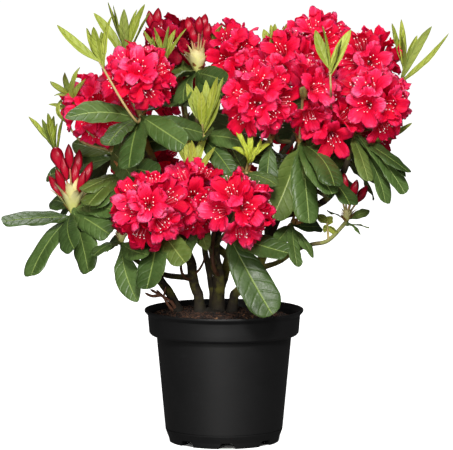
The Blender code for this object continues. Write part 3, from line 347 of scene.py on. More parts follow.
# Masses. from: limb and its control point; path: middle points of the stem; collar: where the
# whorl of leaves sits; dome: centre of the flower head; faces: florets that face forward, as
# (right, up) of the dome's centre; leaves: (right, up, length, negative for one that points back)
# of the collar; whorl: leaves the rule adds; shoots: new growth, each (path from the collar, tips
# as (right, up) of the path's end); buds: tips of closed buds, as (right, up) of the collar.
masses = {
    "truss_left": dict(
        limb=("bough_upper_left", -1), collar=(-118, -110, 480), dome=(-121, -120, 534), whorl=3,
        faces=((2, 24), (17, -16), (-25, 34), (-8, -2), (40, 18)),
        leaves=((-104, 2, 112), (-44, -34, 92), (-14, -64, 108), (64, -34, 96), (52, 12, -86)),
        shoots=(
            (
                ((-122, -160, 478), (-142, -176, 508), (-174, -172, 564)),
                ((-59, 49), (-17, 46), (-7, 48), (3, 40), (19, 63)),
            ),
            (
                ((-134, -70, 510), (-141, -52, 574)),
                ((-25, 66), (-17, 62), (-1, 57), (17, 55), (29, 64), (36, 52), (-45, 50)),
            ),
            (((-96, -80, 510), (-85, -64, 562)), ((-30, 38), (-15, 43), (7, 45), (16, 39), (32, 42), (-17, 30))),
        ),
    ),
    "truss_far_left": dict(
        limb=("stem_outer_left", -1), collar=(-161, -20, 424), dome=(-181, -30, 487), whorl=3,
        faces=((6, 20), (22, -14), (-22, -8), (-8, -40)), leaves=((-60, 6, -95), (30, -30, 90)),
        shoots=(
            (((-200, -8, 462), (-219, 0, 508)), ((-30, 18), (-24, -2), (-8, 32), (13, 38), (22, 23), (3, 24))),
            (((-205, 10, 440), (-228, 14, 470)), ((-24, 22), (0, 34), (-8, 28), (11, 12))),
        ),
    ),
    "leaves_left": dict(
        limb=("stem_outer_left", 5), path=((-146, -40, 374),), collar=(-146, -66, 398), whorl=2,
        leaves=((-66, -8, 84), (-58, -52, 104), (-40, -58, 98), (30, -52, 96), (58, -22, 92)),
    ),
    "buds_far_left": dict(
        limb=("bough_left", -1), collar=(-217, -62, 338),
        buds=((-34, 54), (-25, 96), (-4, 102), (10, 91), (19, 64), (-14, 84), (5, 76), (-22, 66), (28, 74)),
        leaves=(
            (-98, -7, 106), (-56, -82, 118), (7, -40, 98), (56, -22, 92), (65, 9, 88), (-34, 10, -84),
            (-22, -10, -86), (26, -76, 106), (20, 8, -90),
        ),
        shoots=((((-232, -20, 372), (-245, 0, 430)), ((-38, 42), (-18, 39), (-9, 49), (-1, 43), (5, 34), (14, 46))),),
    ),
    "buds_low_left": dict(
        limb=("bough_low_left", -1), collar=(-145, -114, 303), whorl=1, buds=((-14, 42), (-6, 56), (4, 34)),
        leaves=((24, -78, 98), (-38, -14, 66), (40, -10, 80), (-20, -10, -80)),
    ),
    "truss_front_left": dict(
        limb=("stem_left", 3), path=((-76, -64, 302),), collar=(-94, -116, 326), dome=(-104, -176, 357), whorl=2,
        faces=((0, 14), (-29, 3), (-15, -34), (22, -20), (34, 22)),
        leaves=((-14, -80, 112), (-46, -26, 84), (40, -44, 92)),
    ),
    "truss_front_middle": dict(
        limb=("stem_middle", 3), path=((-26, -44, 300),), collar=(-40, -74, 336), dome=(-46, -116, 366), whorl=2,
        faces=((6, 8), (29, -6), (-7, -36), (-16, 40), (-34, -26)), leaves=((-30, -54, 92), (16, -44, 66)),
        shoots=((((-44, -84, 368), (-44, -98, 400)), ((-26, 56), (-8, 56), (-2, 48), (21, 55), (32, 38))),),
    ),
    "truss_front_right": dict(
        limb=("stem_middle", 4), path=((4, -62, 312),), collar=(6, -116, 318), dome=(18, -178, 357), whorl=1,
        faces=((-9, 32), (17, 8), (6, -34), (36, -12), (-34, 14)),
        leaves=((62, -113, 134), (84, -24, 102), (10, -50, -80)),
    ),
    "buds_top": dict(
        limb=("stem_thin", -1), collar=(-39, 10, 534), cup=1.5,
        buds=((-14, 82), (-6, 70), (4, 84), (12, 86), (18, 74)),
        leaves=((-44, 12, -72), (-46, -10, 86), (42, -8, 80), (-18, -36, 86), (24, -26, 90), (30, 4, -80)),
    ),
    "leaves_centre": dict(
        limb=("stem_thin", 5), path=((-36, -20, 420),), collar=(-30, -60, 446), whorl=2,
        leaves=((-40, -46, 80), (40, -44, 78), (12, 4, 62), (-66, -12, 90), (62, -6, 88)),
        shoots=((((-31, -72, 468),), ((-22, 57), (-9, 54), (-1, 46), (5, 61), (22, 68), (30, 66), (26, 43))),),
    ),
    "leaves_centre_right": dict(
        limb=("stem_middle", 6), path=((24, -84, 396),), collar=(30, -104, 400),
        leaves=((-50, -4, 78), (44, -12, 72), (-36, -30, -76), (-26, 34, -90)),
        shoots=((((36, -126, 424),), ((-23, 50), (0, 44), (39, 40), (29, 19), (-12, 30))),),
    ),
    "truss_centre": dict(
        limb=("stem_middle", -1), collar=(66, -92, 446), dome=(50, -124, 504), whorl=2,
        faces=((8, 30), (-30, 14), (-4, -6), (28, -34), (-28, -26)), leaves=((-8, -74, 80), (-50, -30, 96)),
    ),
    "truss_centre_right": dict(
        limb=("bough_centre_right", -1), collar=(108, -70, 440), dome=(112, -96, 514), whorl=2,
        faces=((-6, 22), (-22, -18), (10, -36), (24, 12)),
        leaves=((-40, -102, 120), (12, -110, 118), (50, -40, 106), (44, -66, 104)),
    ),
    "truss_right_front": dict(
        limb=("bough_right", 2), path=((126, -28, 376),), collar=(138, -34, 406), dome=(150, -60, 462), whorl=1,
        faces=((-24, 12), (5, -16), (14, 30)), leaves=((40, -50, 100), (10, -40, 90)),
        shoots=(
            (((152, -140, 470), (150, -152, 512), (148, -152, 552)), ((-20, 53), (-11, 60), (16, 41), (30, 53))),
        ),
    ),
    "truss_top_middle": dict(
        limb=("bough_top_right", 2), path=((76, 30, 440),), collar=(84, -4, 494), dome=(92, -12, 550), whorl=2,
        faces=((-14, 26), (0, 16), (-26, -8)), leaves=((20, 10, -90),),
    ),
    "truss_top": dict(
        limb=("bough_top_right", -1), collar=(128, 60, 512), dome=(136, 72, 570), whorl=2,
        faces=((17, 14), (-18, 10), (20, -26), (-8, 36)), leaves=((-40, 10, -90),),
    ),
    "truss_right": dict(
        limb=("bough_top_right", 3), path=((140, 30, 458), (170, 14, 476)), collar=(190, 12, 494),
        dome=(206, 16, 548), whorl=1, faces=((9, 6), (-30, 2), (24, -24), (-4, -30)), leaves=((10, 20, -90),),
        shoots=(
            (
                ((226, 0, 492), (250, 0, 516), (262, 0, 537)),
                ((-20, 70), (-7, 76), (-7, 54), (17, 52), (36, 67), (62, 56)),
            ),
        ),
    ),
    "truss_far_right": dict(
        limb=("bough_right", -1), collar=(186, -60, 450), dome=(212, -76, 498), whorl=1,
        faces=((-14, -2), (26, -2), (-27, 32), (-6, 32), (18, -36)),
        leaves=((17, -58, 98), (42, -91, 116), (80, -34, 106), (70, -54, 104), (70, -78, 116), (52, -10, -90)),
        shoots=((((214, -30, 436),), ((42, 40), (56, 30), (14, 20))),),
    ),
    "buds_right": dict(
        limb=("bough_low_right", -1), path=((126, -27, 290), (150, -37, 297)), collar=(176, -50, 326),
        buds=((-16, 66), (-4, 70), (14, 62), (30, 50), (8, 52)),
        leaves=((30, -6, 48), (18, -16, 40), (-26, 10, -44), (34, 12, -50)),
        shoots=((((150, -39, 300), (148, -42, 324)), ((-14, 10), (8, 8), (16, -14), (-6, -8))),),
    ),
    "leaves_right": dict(
        limb=("stem_right", 3), path=((84, -26, 306),), collar=(96, -36, 320),
        leaves=((30, -42, 76), (-26, -22, 80), (44, -10, -80), (8, -54, 82)),
    ),
    "truss_top_centre": dict(
        limb=("bough_top_centre", -1), collar=(9, 38, 502), dome=(9, 40, 556), whorl=3,
        faces=((3, 12), (19, -12), (-26, -22), (-4, 34), (30, 20)), leaves=((-40, -12, 92), (46, -14, 92)),
        shoots=(
            (((44, 62, 520), (76, 58, 566)), ((-19, 33), (-9, 40), (-3, 42), (5, 32), (14, 42))),
            (((-8, 84, 540), (-15, 92, 580)), ((-8, 20), (2, 26), (13, 24), (26, 22))),
        ),
    ),
    "truss_top_left": dict(
        limb=("bough_top_left", -1), collar=(-62, 80, 512), dome=(-66, 76, 566), whorl=3,
        faces=((-14, 10), (20, 16), (4, -16), (-34, -10)), leaves=((50, -20, 96),),
        shootBuds=((-8, 50), (6, 54), (12, 38)), shoots=((((-92, 92, 540), (-102, 84, 572)), ()),),
    ),
    "truss_rear_left": dict(limb=("bough_rear_left", -1), collar=(-112, 116, 430), dome=(-120, 128, 484), whorl=5),
    "truss_rear_low_left": dict(
        limb=("bough_rear_left", 2), path=((-84, 140, 340),), collar=(-100, 160, 348), dome=(-116, 186, 384), whorl=4,
    ),
    "leaves_rear_left": dict(
        limb=("bough_rear_left", 3), path=((-126, 134, 404),), collar=(-172, 136, 420), candle=(-196, 150, 452),
        whorl=7,
    ),
    "truss_rear_top_left": dict(
        limb=("bough_top_left", 1), path=((-46, 130, 420),), collar=(-58, 156, 450), dome=(-66, 174, 500), whorl=4,
    ),
    "truss_rear_top_right": dict(
        limb=("stem_rear", 4), path=((32, 112, 410),), collar=(42, 144, 444), dome=(48, 168, 492), whorl=4,
    ),
    "truss_rear_middle": dict(
        limb=("stem_rear", 2), path=((8, 112, 300),), collar=(8, 146, 318), dome=(8, 184, 344), whorl=4,
    ),
    "truss_rear_right": dict(limb=("bough_rear_right", -1), collar=(140, 126, 450), dome=(152, 136, 502), whorl=5),
    "truss_rear_low_right": dict(
        limb=("bough_rear_right", 2), path=((92, 146, 376),), collar=(100, 160, 396), dome=(116, 184, 434), whorl=4,
    ),
    "truss_rear_far_right": dict(
        limb=("bough_rear_right", 3), path=((140, 106, 404),), collar=(176, 98, 418), dome=(206, 96, 458),
        candle=(236, 120, 440), whorl=5,
    ),
}


# Coarse shapes, as the source has them: they decide what has room to grow.


def skin(rings):
    verts = []
    starts = []
    for ring in rings:
        starts.append(len(verts))
        verts += [Vector(point) for point in ring]
    faces = []
    for (low, here), (high, there) in zip(zip(starts, rings), zip(starts[1:], rings[1:])):
        count = max(len(here), len(there))
        for k in range(count):
            j = (k + 1) % count
            if len(here) == 1:
                faces.append((low, high + j, high + k))
            elif len(there) == 1:
                faces.append((low + k, low + j, high))
            else:
                faces.append((low + k, low + j, high + j, high + k))
    for start, ring in ((starts[0], rings[0]), (starts[-1], rings[-1])):
        if len(ring) > 1:
            faces.append(tuple(range(start, start + len(ring))))
    return verts, faces


def smoothPath(points, before=None, steps=2):
    points = [Vector(point) for point in points]
    first = Vector(before) if before is not None else 2 * points[0] - points[1]
    control = [first, *points, 2 * points[-1] - points[-2]]
    path = []
    for i in range(1, len(control) - 2):
        p0, p1, p2, p3 = control[i - 1:i + 3]
        for k in range(steps):
            t = k / steps
            bend = (2 * p0 - 5 * p1 + 4 * p2 - p3) * t * t
            twist = (3 * p1 - 3 * p2 + p3 - p0) * t * t * t
            path.append((2 * p1 + (p2 - p0) * t + bend + twist) / 2)
    return [*path, points[-1]]


def lengthsOf(path):
    run = [0.0]
    for a, b in zip(path, path[1:]):
        run.append(run[-1] + (b - a).length)
    return run


def pointAt(path, distance):
    run = lengthsOf(path)
    for i in range(len(path) - 1):
        if distance <= run[i + 1] or i == len(path) - 2:
            along = (path[i + 1] - path[i]).normalized()
            return path[i] + along * (distance - run[i]), along
    return None


def partOf(path, low, high):
    run = lengthsOf(path)
    inner = [p for p, r in zip(path, run) if low + 2 < r < high - 2]
    return [pointAt(path, low)[0], *inner, pointAt(path, high)[0]]


def tube(path, radii, sides, firstWay=None, lastWay=None):
    run = lengthsOf(path)
    ways = [(b - a).normalized() for a, b in zip(path, path[1:])]
    firstWay = firstWay or ways[0]
    lastWay = lastWay or ways[-1]
    middles = [(a + b).normalized() for a, b in zip(ways, ways[1:])]
    rings = []
    across = firstWay.orthogonal().normalized()
    for point, way, r in zip(path, [firstWay, *middles, lastWay], run):
        across = (across - way * across.dot(way)).normalized()
        side = way.cross(across)
        radius = radii[0] + (radii[1] - radii[0]) * r / run[-1]
        turns = [2 * math.pi * k / sides for k in range(sides)]
        rings.append([point + (across * math.cos(t) + side * math.sin(t)) * radius for t in turns])
    return skin(rings)


def blade(base, tip, facing, width, thick, bow, sections):
    run = tip - base
    side = run.cross(facing).normalized()
    face = side.cross(run).normalized()
    rings = [[base]]
    for t, part in sections:
        middle = base + run * t + face * (4 * bow * run.length * t * (1 - t))
        half = side * (width * part / 2)
        rings.append([middle + half, middle - half, middle + face * thick])
    rings.append([tip])
    return skin(rings)


def circle(middle, way, radius, count, turn=0.0):
    side = way.cross(up if abs(way.z) < 0.9 else Vector((0, 1, 0))).normalized()
    rise = side.cross(way)
    turns = [turn + 2 * math.pi * k / count for k in range(count)]
    return [middle + (rise * math.cos(t) + side * math.sin(t)) * radius for t in turns]


def coarseFloret(hub, way, turn):
    lobes = circle(hub + way * floret["reach"], way, floret["lobe"], 5, turn)
    return skin([[hub + way * floret["foot"]], lobes, [hub + way * floret["reach"] * floret["cup"]]])


def coarseKnob(hub, axis):
    radius = knobRadius
    low = circle(hub - axis * radius * 0.4, axis, radius, 5)
    high = circle(hub + axis * radius * 0.5, axis, radius, 5, math.pi / 5)
    return skin([[hub - axis * radius], low, high, [hub + axis * radius * 1.1]])


def coarseBud(foot, tip):
    way = (tip - foot).normalized()
    neck = circle(tip - way * bud["length"], way, bud["stalk"], 3)
    waist = circle(tip - way * bud["length"] / 2, way, bud["radius"], 3)
    return skin([[foot], neck, waist, [tip]])


def coarseCup(foot, way, size):
    low, high = cup["heights"]
    return skin([
        [foot],
        circle(foot + way * low * size, way, cup["radius"] / 2, 5),
        circle(foot + way * high * size, way, cup["radius"], 5),
    ])


# Growth: where each limb, leaf, flower and bud stands. The order and the seeds are the source's.

collars = [Vector(plan["collar"]) for plan in masses.values()]


def boxOf(verts):
    return [min(v[i] for v in verts) for i in range(3)], [max(v[i] for v in verts) for i in range(3)]


class Grown:
    # every coarse piece so far, and the facts that its fine form is made from
    def __init__(self):
        self.pieces = []
        self.facts = []

    def add(self, node, kind, piece, **facts):
        self.pieces.append((node, kind, *boxOf(piece[0]), BVHTree.FromPolygons(*piece), piece[0]))
        if facts:
            self.facts.append(dict(node=node, kind=kind, **facts))

    def all(self, *kinds):
        return [fact for fact in self.facts if fact["kind"] in kinds]

    def clear(self, node, piece, heads=False):
        verts, faces = piece
        centre = sum(verts, Vector()) / len(verts)
        wide = [v + (v - centre).normalized() * clearance for v in verts]
        tree = BVHTree.FromPolygons(wide, faces)
        low, high = boxOf(wide)
        for owner, otherKind, a, b, other, points in self.pieces:
            if owner == node and not (heads and otherKind in ("floret", "blade")):
                continue
            if any(a[i] > high[i] or b[i] < low[i] for i in range(3)):
                continue
            if tree.overlap(other) or isInside(other, centre) or isInside(tree, points[-1]):
                return False
        return True


def isInside(tree, point):
    hits = 0
    origin = point.copy()
    for _ in range(8):
        place, _, _, _ = tree.ray_cast(origin, up)
        if place is None:
            break
        hits += 1
        origin = place + up * 0.01
    return hits % 2 == 1


def growLimbs(grown):
    paths = {"trunk": [Vector((*rootCrown["middle"], soil["crown"] + rootCrown["line"]))]}
    foot = soil["crown"] + gap
    rings = []
    for height, wide, deep in rootCrown["flare"]:
        flare = []
        for k in range(rootCrown["sides"]):
            turn = 2 * math.pi * k / rootCrown["sides"]
            lobe = 1 + (0.14 - 0.005 * height) * math.cos(5 * turn)
            x = rootCrown["middle"][0] + wide * lobe * math.cos(turn)
            y = rootCrown["middle"][1] + deep * lobe * math.sin(turn)
            flare.append((x, y, foot + height))
        rings.append(flare)
    grown.add("trunk", "limb", skin(rings))
    outer = smoothPath(outerStem, before=outerStemBefore)
    shape = tube(outer, outerStemRadii, limbSizes["outerSides"], firstWay=up)
    grown.add("stem_outer_left", "limb", shape, path=outer, radii=outerStemRadii)
    for twig in deadTwigs:
        line = smoothPath(twig)
        radii = (deadTwigRadius, 1.8)
        grown.add("stem_outer_left", "deadTwig", tube(line, radii, 5), path=line, radii=radii)
    paths["stem_outer_left"] = [Vector(point) for point in outerStem]
    radii = {"trunk": (10, 10), "stem_outer_left": outerStemRadii}
    for name, (parent, start, ends, points) in limbs.items():
        beginLimb(grown, paths, radii, name, parent, start, ends, points, limbSizes["sides"], 2)
    return paths, radii


def beginLimb(grown, paths, radii, name, parent, start, ends, points, sides, steps):
    # the fine limb runs on from inside its parent, so its facts hold the whole path
    line = paths[parent]
    origin = line[start]
    onward = parent != "trunk" and start in (-1, len(line) - 1)
    path, fine = [
        smoothPath([origin, *points], before=line[-2] if onward else None, steps=count) for count in (steps, 6)
    ]
    if onward:
        way = pointAt(smoothPath(line), 1e6)[1].normalized()
        path[0] = origin + way * gap
        shape = tube(path, ends, sides, firstWay=way)
    else:
        share = start / max(len(line) - 1, 1)
        around = radii[parent][0] + (radii[parent][1] - radii[parent][0]) * share
        total = lengthsOf(path)[-1]
        cut = limbSizes["trunkStub"] if parent == "trunk" else around + ends[0] + limbSizes["sideStub"]
        atCut = ends[0] + (ends[1] - ends[0]) * cut / total
        way = pointAt(path, cut)[1]
        grown.add(parent, "stub", tube(partOf(path, 0, cut), (ends[0], atCut), sides, lastWay=way))
        shape = tube(partOf(path, cut + gap, total), (atCut, ends[1]), sides, firstWay=way)
    grown.add(name, "limb" if name in limbs else "stalk", shape, path=fine, radii=ends)
    paths[name] = [origin, *[Vector(point) for point in points]]
    radii[name] = ends


def frontOffset(centre, right, rise, length):
    depth = math.copysign(math.sqrt(max(length * length - right * right - rise * rise, 0)), length)
    return Vector(centre) + Vector((right, -depth, rise))


def leafFacing(base, tip):
    outward = Vector(((base.x + tip.x) / 2, (base.y + tip.y) / 2 + 20, 0)).normalized()
    return outward + up * 0.9


def inCrown(point):
    return point.z > crown["low"] and abs(point.x) < crown["half"][0] and abs(point.y) < crown["half"][1]


def growLeaf(grown, name, base, tip, rule=False):
    run = tip - base
    across = run.cross(up).normalized()
    for shorter in leaf["lengths"]:
        for lift, turn in leaf["turns"]:
            raised = Matrix.Rotation(math.radians(lift), 3, across) @ run
            way = Matrix.Rotation(math.radians(turn), 3, "Z") @ raised * shorter
            end = base + way
            if way.length > crown["space"] or rule and not inCrown(end):
                continue
            root = base + way.normalized() * leaf["root"]
            facing = leafFacing(base, end)
            width = way.length * leaf["width"]
            shape = blade(root, end, facing, width, leaf["thick"], leaf["bow"], leaf["sections"])
            if grown.clear(name, shape, heads=True):
                grown.add(name, "leaf", shape, base=root, tip=end, facing=facing, width=width)
                return True
    return False


def growCandle(grown, name, start, path, tips):
    line = smoothPath([start, *path], steps=1)
    fine = smoothPath([start, *path], steps=6)
    grown.add(name, "twig", tube(line, limbSizes["candle"], 3), path=fine, radii=limbSizes["candle"])
    end = line[-1]
    rise = (end - line[-2]).normalized()
    for k, (right, high) in enumerate(tips):
        reach = math.hypot(right, high)
        depth = 0.32 * reach * math.sin(2.4 * k + 0.6)
        tip = end + Vector((right, depth, high))
        inward = rise * (tip - end).dot(rise) - (tip - end)
        facing = inward if inward.length > 1 else Vector((0, -1, 0))
        foot = end - rise * (1 + tuft["step"] * k)
        shape = blade(foot, tip, facing, tuft["width"], tuft["thick"], tuft["bow"], tuft["sections"])
        if grown.clear(name, shape):
            grown.add(name, "blade", shape, base=foot, tip=tip, facing=facing, width=tuft["width"])


def growTwig(grown, name, ends, path, radii):
    grown.add(name, "twig", tube(path, ends, limbSizes["twigSides"]), path=path, radii=radii)


def growStem(grown, paths, radii, name, plan):
    parent, start = plan["limb"]
    collar = Vector(plan["collar"])
    points = [*plan.get("path", ()), tuple(collar)]
    beginLimb(grown, paths, radii, name, parent, start, limbSizes["twig"], points, limbSizes["twigSides"], 1)
    axis = axisOf(plan, paths[name])
    if plan.get("dome"):
        hub = Vector(plan["dome"])
        growTwig(grown, name, limbSizes["headStalk"], [collar - axis * 3, hub], (3.4, 3.0))
        grown.add(name, "twig", coarseKnob(hub, axis))
    elif plan.get("buds"):
        size = plan.get("cup", 1)
        grown.add(name, "cup", coarseCup(collar - up * 3, up, size), foot=collar - up * 3, size=size)
    else:
        growTwig(grown, name, limbSizes["tip"], [collar - axis * 4, collar + axis * 9], (3.4, 2.6))


def growBud(grown, name, foot, tip):
    grown.add(name, "bud", coarseBud(foot, tip), foot=foot, tip=tip)


def growHead(grown, paths, name, plan):
    chance = random.Random(name + " head")
    collar = Vector(plan["collar"])
    for k, (right, rise) in enumerate(plan.get("buds", ())):
        depth = bud["spread"] * math.sin(2.4 * k + 0.5)
        growBud(grown, name, collar + up * 4, collar + Vector((right, depth, rise)))
    if not plan.get("dome"):
        return
    hub = Vector(plan["dome"])
    kept = []
    spacing = math.radians(floret["spacing"])
    for out in floretWays((hub - collar).normalized(), plan.get("faces", ()), chance):
        if any(out.angle(old) < spacing for old in kept):
            continue
        if any((hub + out * floret["middle"] - other).length < crown["collarRoom"] for other in collars):
            continue
        turn = chance.uniform(-0.3, 0.3)
        shape = coarseFloret(hub, out, turn)
        if grown.clear(name, shape):
            grown.add(name, "floret", shape, hub=hub, way=out, turn=turn, collar=collar, size=1.0)
            kept.append(out)


def floretWays(axis, faces, chance, tries=floret["tries"]):
    ways = [frontOffset((0, 0, 0), right, rise, floret["reach"] - 8).normalized() for right, rise in faces]
    side = axis.orthogonal().normalized()
    other = axis.cross(side)
    for k in range(tries):
        tilt = math.acos(1 - (k + 0.5) / tries * floret["domeShare"])
        turn = k * goldenTurn + chance.uniform(-0.2, 0.2)
        around = side * math.cos(turn) + other * math.sin(turn)
        ways.append(axis * math.cos(tilt) + around * math.sin(tilt))
    return ways


def axisOf(plan, stem):
    if plan.get("dome"):
        return (Vector(plan["dome"]) - Vector(plan["collar"])).normalized()
    if plan.get("buds"):
        return up
    return (stem[-1] - stem[-2]).normalized()


def growShoots(grown, paths, name, plan):
    stem = paths[name]
    collar = stem[-1]
    for path, tips in plan.get("shoots", ()):
        begin = collar if len(stem) < 4 or path[0][2] > collar.z - 8 else stem[2]
        growCandle(grown, name, begin, path, tips)
        end = Vector(path[-1])
        for right, rise in plan.get("shootBuds", ()):
            growBud(grown, name, end - up * 3, end + Vector((right, 0, rise)))
    if "candle" in plan:
        tips = [(22 * math.sin(2.1 * k), 46 + 8 * math.cos(1.7 * k)) for k in range(6)]
        growCandle(grown, name, collar, (plan["candle"],), tips)


def growChosenLeaves(grown, paths, name, plan):
    collar = Vector(plan["collar"])
    axis = axisOf(plan, paths[name])
    for k, aim in enumerate(plan.get("leaves", ())):
        foot = collar + axis * (leaf["step"] * (k - 2))
        growLeaf(grown, name, foot, frontOffset(collar, *aim))


def growWhorl(grown, paths, name, plan):
    chance = random.Random(name + " whorl")
    collar = Vector(plan["collar"])
    axis = axisOf(plan, paths[name])
    side = axis.orthogonal().normalized()
    other = axis.cross(side)
    phase = chance.uniform(0, 2 * math.pi)
    for k in range(plan.get("whorl", 0)):
        turn = phase + k * goldenTurn
        out = side * math.cos(turn) + other * math.sin(turn) + axis * chance.uniform(-0.1, 0.35) - up * 0.2
        if "faces" in plan:
            out.y = abs(out.y)
        length = chance.uniform(*leaf["whorlLengths"])
        foot = collar - axis * (leaf["step"] * (k + 3))
        growLeaf(grown, name, foot, foot + out.normalized() * length, rule=True)


def growFillers(grown, paths, name, plan):
    # more florets between those of the coarse rule, tucked a little under them, as a full head has
    if not plan.get("dome"):
        return
    chance = random.Random(name + " fillers")
    hub, collar = Vector(plan["dome"]), Vector(plan["collar"])
    own = [fact["way"] for fact in grown.all("floret") if fact["node"] == name]
    top = max(v.z for node, kind, _, _, _, points in grown.pieces if node == name for v in points)
    others = [fact["hub"] + fact["way"] * 46 for fact in grown.all("floret") if fact["node"] != name]
    low, high = [Vector(corner) / mm for corner in boxAtLoad]
    faces = plan.get("faces", ())
    for k, out in enumerate(floretWays((hub - collar).normalized(), faces, chance, fillers["tries"])):
        chosen = k < len(faces)
        if any(out.angle(old) < math.radians(fillers["chosen"] if chosen else fillers["spacing"]) for old in own):
            continue
        size = chance.uniform(*fillers["size"])
        middle = hub + out * 46 * size
        if any((hub + out * floret["middle"] - other).length < fillers["collarRoom"] for other in collars):
            continue
        if any((middle - other).length < fillers["room"] for other in others):
            continue
        turn = chance.uniform(-0.4, 0.4)
        shape = coarseFloret(hub, out, turn)
        if any(v.z > top or v[i] < low[i] or v[i] > high[i] for v in shape[0] for i in range(3)):
            continue
        tree = BVHTree.FromPolygons(*shape)
        if any(kind in ("leaf", "blade", "bud", "cup", "limb") and tree.overlap(other)
               for _, kind, _, _, other, _ in grown.pieces):
            continue
        grown.add(name, "floret", shape, hub=hub, way=out, turn=turn, collar=collar, size=size)
        own.append(out)


def growPlant():
    grown = Grown()
    paths, radii = growLimbs(grown)
    for name, plan in masses.items():
        growStem(grown, paths, radii, name, plan)
    for grow in (growHead, growShoots, growChosenLeaves, growWhorl, growFillers):
        for name, plan in masses.items():
            grow(grown, paths, name, plan)
    print(f"grown: {len(grown.all('floret'))} florets, {len(grown.all('leaf'))} leaves, "
          f"{len(grown.all('blade'))} young leaves, {len(grown.all('bud'))} buds")
    return grown, paths


# Finishes. Colours are linear.

petalShades = (  # throat, body low, body high, edge
    ((0.48, 0.0006, 0.016), (0.57, 0.0008, 0.020), (0.74, 0.0040, 0.044), (0.84, 0.030, 0.115)),
    ((0.28, 0.0003, 0.010), (0.42, 0.0006, 0.015), (0.58, 0.0016, 0.030), (0.70, 0.010, 0.065)),
    ((0.54, 0.0008, 0.020), (0.67, 0.0024, 0.034), (0.82, 0.0150, 0.082), (0.88, 0.085, 0.200)),
    # the last row is painted shade, for florets that stand in the plant's shadow
    ((0.10, 0.0003, 0.006), (0.17, 0.0004, 0.009), (0.27, 0.0008, 0.014), (0.38, 0.004, 0.030)),
)


def petalFinish(name, shade):
    throat, low, high, edge = petalShades[shade]
    # a faint painted glow: the Emission Strength set here, fed with the petal colour further on
    finish = Finish(name, Specular_IOR_Level=0.12, Subsurface_Weight=0.3, Subsurface_Scale=0.006,
                    Subsurface_Radius=(1.0, 0.12, 0.22), Emission_Strength=0.08)
    tint, dice = finish.attribute("tint"), finish.attribute("dice")
    across, along = finish.across()
    fan = finish.add("ShaderNodeCombineXYZ", {}, [across * 16, along * 1.6, dice * 40])
    streak = finish.noise(1.0, 3, 0.65, place=fan)
    grain = finish.noise(150, 3, 0.6)
    place = (tint + (streak - 0.5) * 0.85 + (grain - 0.5) * 0.3 + (dice - 0.5) * 0.3).clamp()
    stops = ((0.0, throat), (0.42, low), (0.8, high), (1.0, edge))
    colour = finish.add("ShaderNodeValToRGB", dict(stops=stops), [place])
    speckle = finish.add("ShaderNodeTexVoronoi", dict(feature="F1"), dict(Vector=finish.place(), Scale=640.0))
    spots = (1 - (speckle * 2.6).clamp()) * finish.attribute("blotch") * 1.1
    colour = finish.mix(spots.clamp(), colour, (0.16, 0.0, 0.01))
    finish.feed("Emission Color", colour)  # painted glow: the petals give off a faint light in their own colour, standing in for light let through the thin petals
    return finish.done(colour, 0.5 + grain * 0.25, streak * 0.9 + grain * 0.5, 0.6, 0.0012)


def petalFinishes():
    return [petalFinish(f"petal_{tone}_{zone}", k)
            for k, tone in enumerate(("crimson", "deep", "light", "shaded")) for zone in ("throat", "body", "edge")]


def leafFinish(name, low, high, vein, roughness, quilt=0.4, side=9, edge=0.2):
    finish = Finish(name, Specular_IOR_Level=0.38)
    across, along = finish.across()
    away = (across - 0.5).math("ABSOLUTE") * 2
    patch = finish.noise(26, 3)
    fine = finish.noise(260, 2)
    rows = (along * side - away * 1.5) * (2 * math.pi)
    warp = finish.noise(70, 2)
    rows = rows + (warp - 0.5) * 2.4
    ridge = (rows.math("COSINE") * 0.5 + 0.5) ** 8
    midrib = (1 - (away / 0.05).clamp()) ** 1.2
    rim = ((away - 0.93) * 14).clamp()
    colour = finish.mix(((patch - 0.3) * 1.6 + (fine - 0.5) * 0.6).clamp(), low, high)
    colour = finish.mix(ridge * 0.03 * (1 - away * 0.6) + rim * edge, colour, vein)
    colour = finish.mix((midrib * 0.75).clamp(), colour, vein)
    relief = (1 - ridge) * quilt + fine * 0.25 + warp * 0.5 - midrib * 0.5
    return finish.done(colour, (roughness + (fine - 0.5) * 0.3 + (patch - 0.5) * 0.25).clamp(), relief, 0.7, 0.0018)


def leafFinishes():
    return [
        leafFinish("leaf_dark", (0.025, 0.050, 0.010), (0.072, 0.128, 0.032), (0.26, 0.36, 0.08), 0.44),
        leafFinish("leaf_green", (0.042, 0.080, 0.016), (0.108, 0.176, 0.046), (0.32, 0.42, 0.11), 0.44),
        leafFinish("leaf_olive", (0.064, 0.100, 0.016), (0.132, 0.188, 0.044), (0.36, 0.43, 0.12), 0.48),
        leafFinish("leaf_under", (0.12, 0.17, 0.06), (0.19, 0.25, 0.09), (0.38, 0.42, 0.17), 0.65),
    ]


def youngLeafFinishes():
    return [
        leafFinish("young_green", (0.18, 0.23, 0.020), (0.40, 0.45, 0.065), (0.60, 0.64, 0.22), 0.55, 0.5, 7, 0.6),
        leafFinish("young_pale", (0.25, 0.30, 0.025), (0.50, 0.54, 0.09), (0.66, 0.69, 0.28), 0.55, 0.5, 7, 0.6),
        leafFinish("young_under", (0.14, 0.19, 0.025), (0.30, 0.36, 0.07), (0.50, 0.54, 0.18), 0.65, 0.5, 7, 0.6),
        leafFinish("young_curled", (0.26, 0.33, 0.012), (0.52, 0.58, 0.06), (0.62, 0.66, 0.20), 0.55, 0.5, 7, 0.4),
    ]


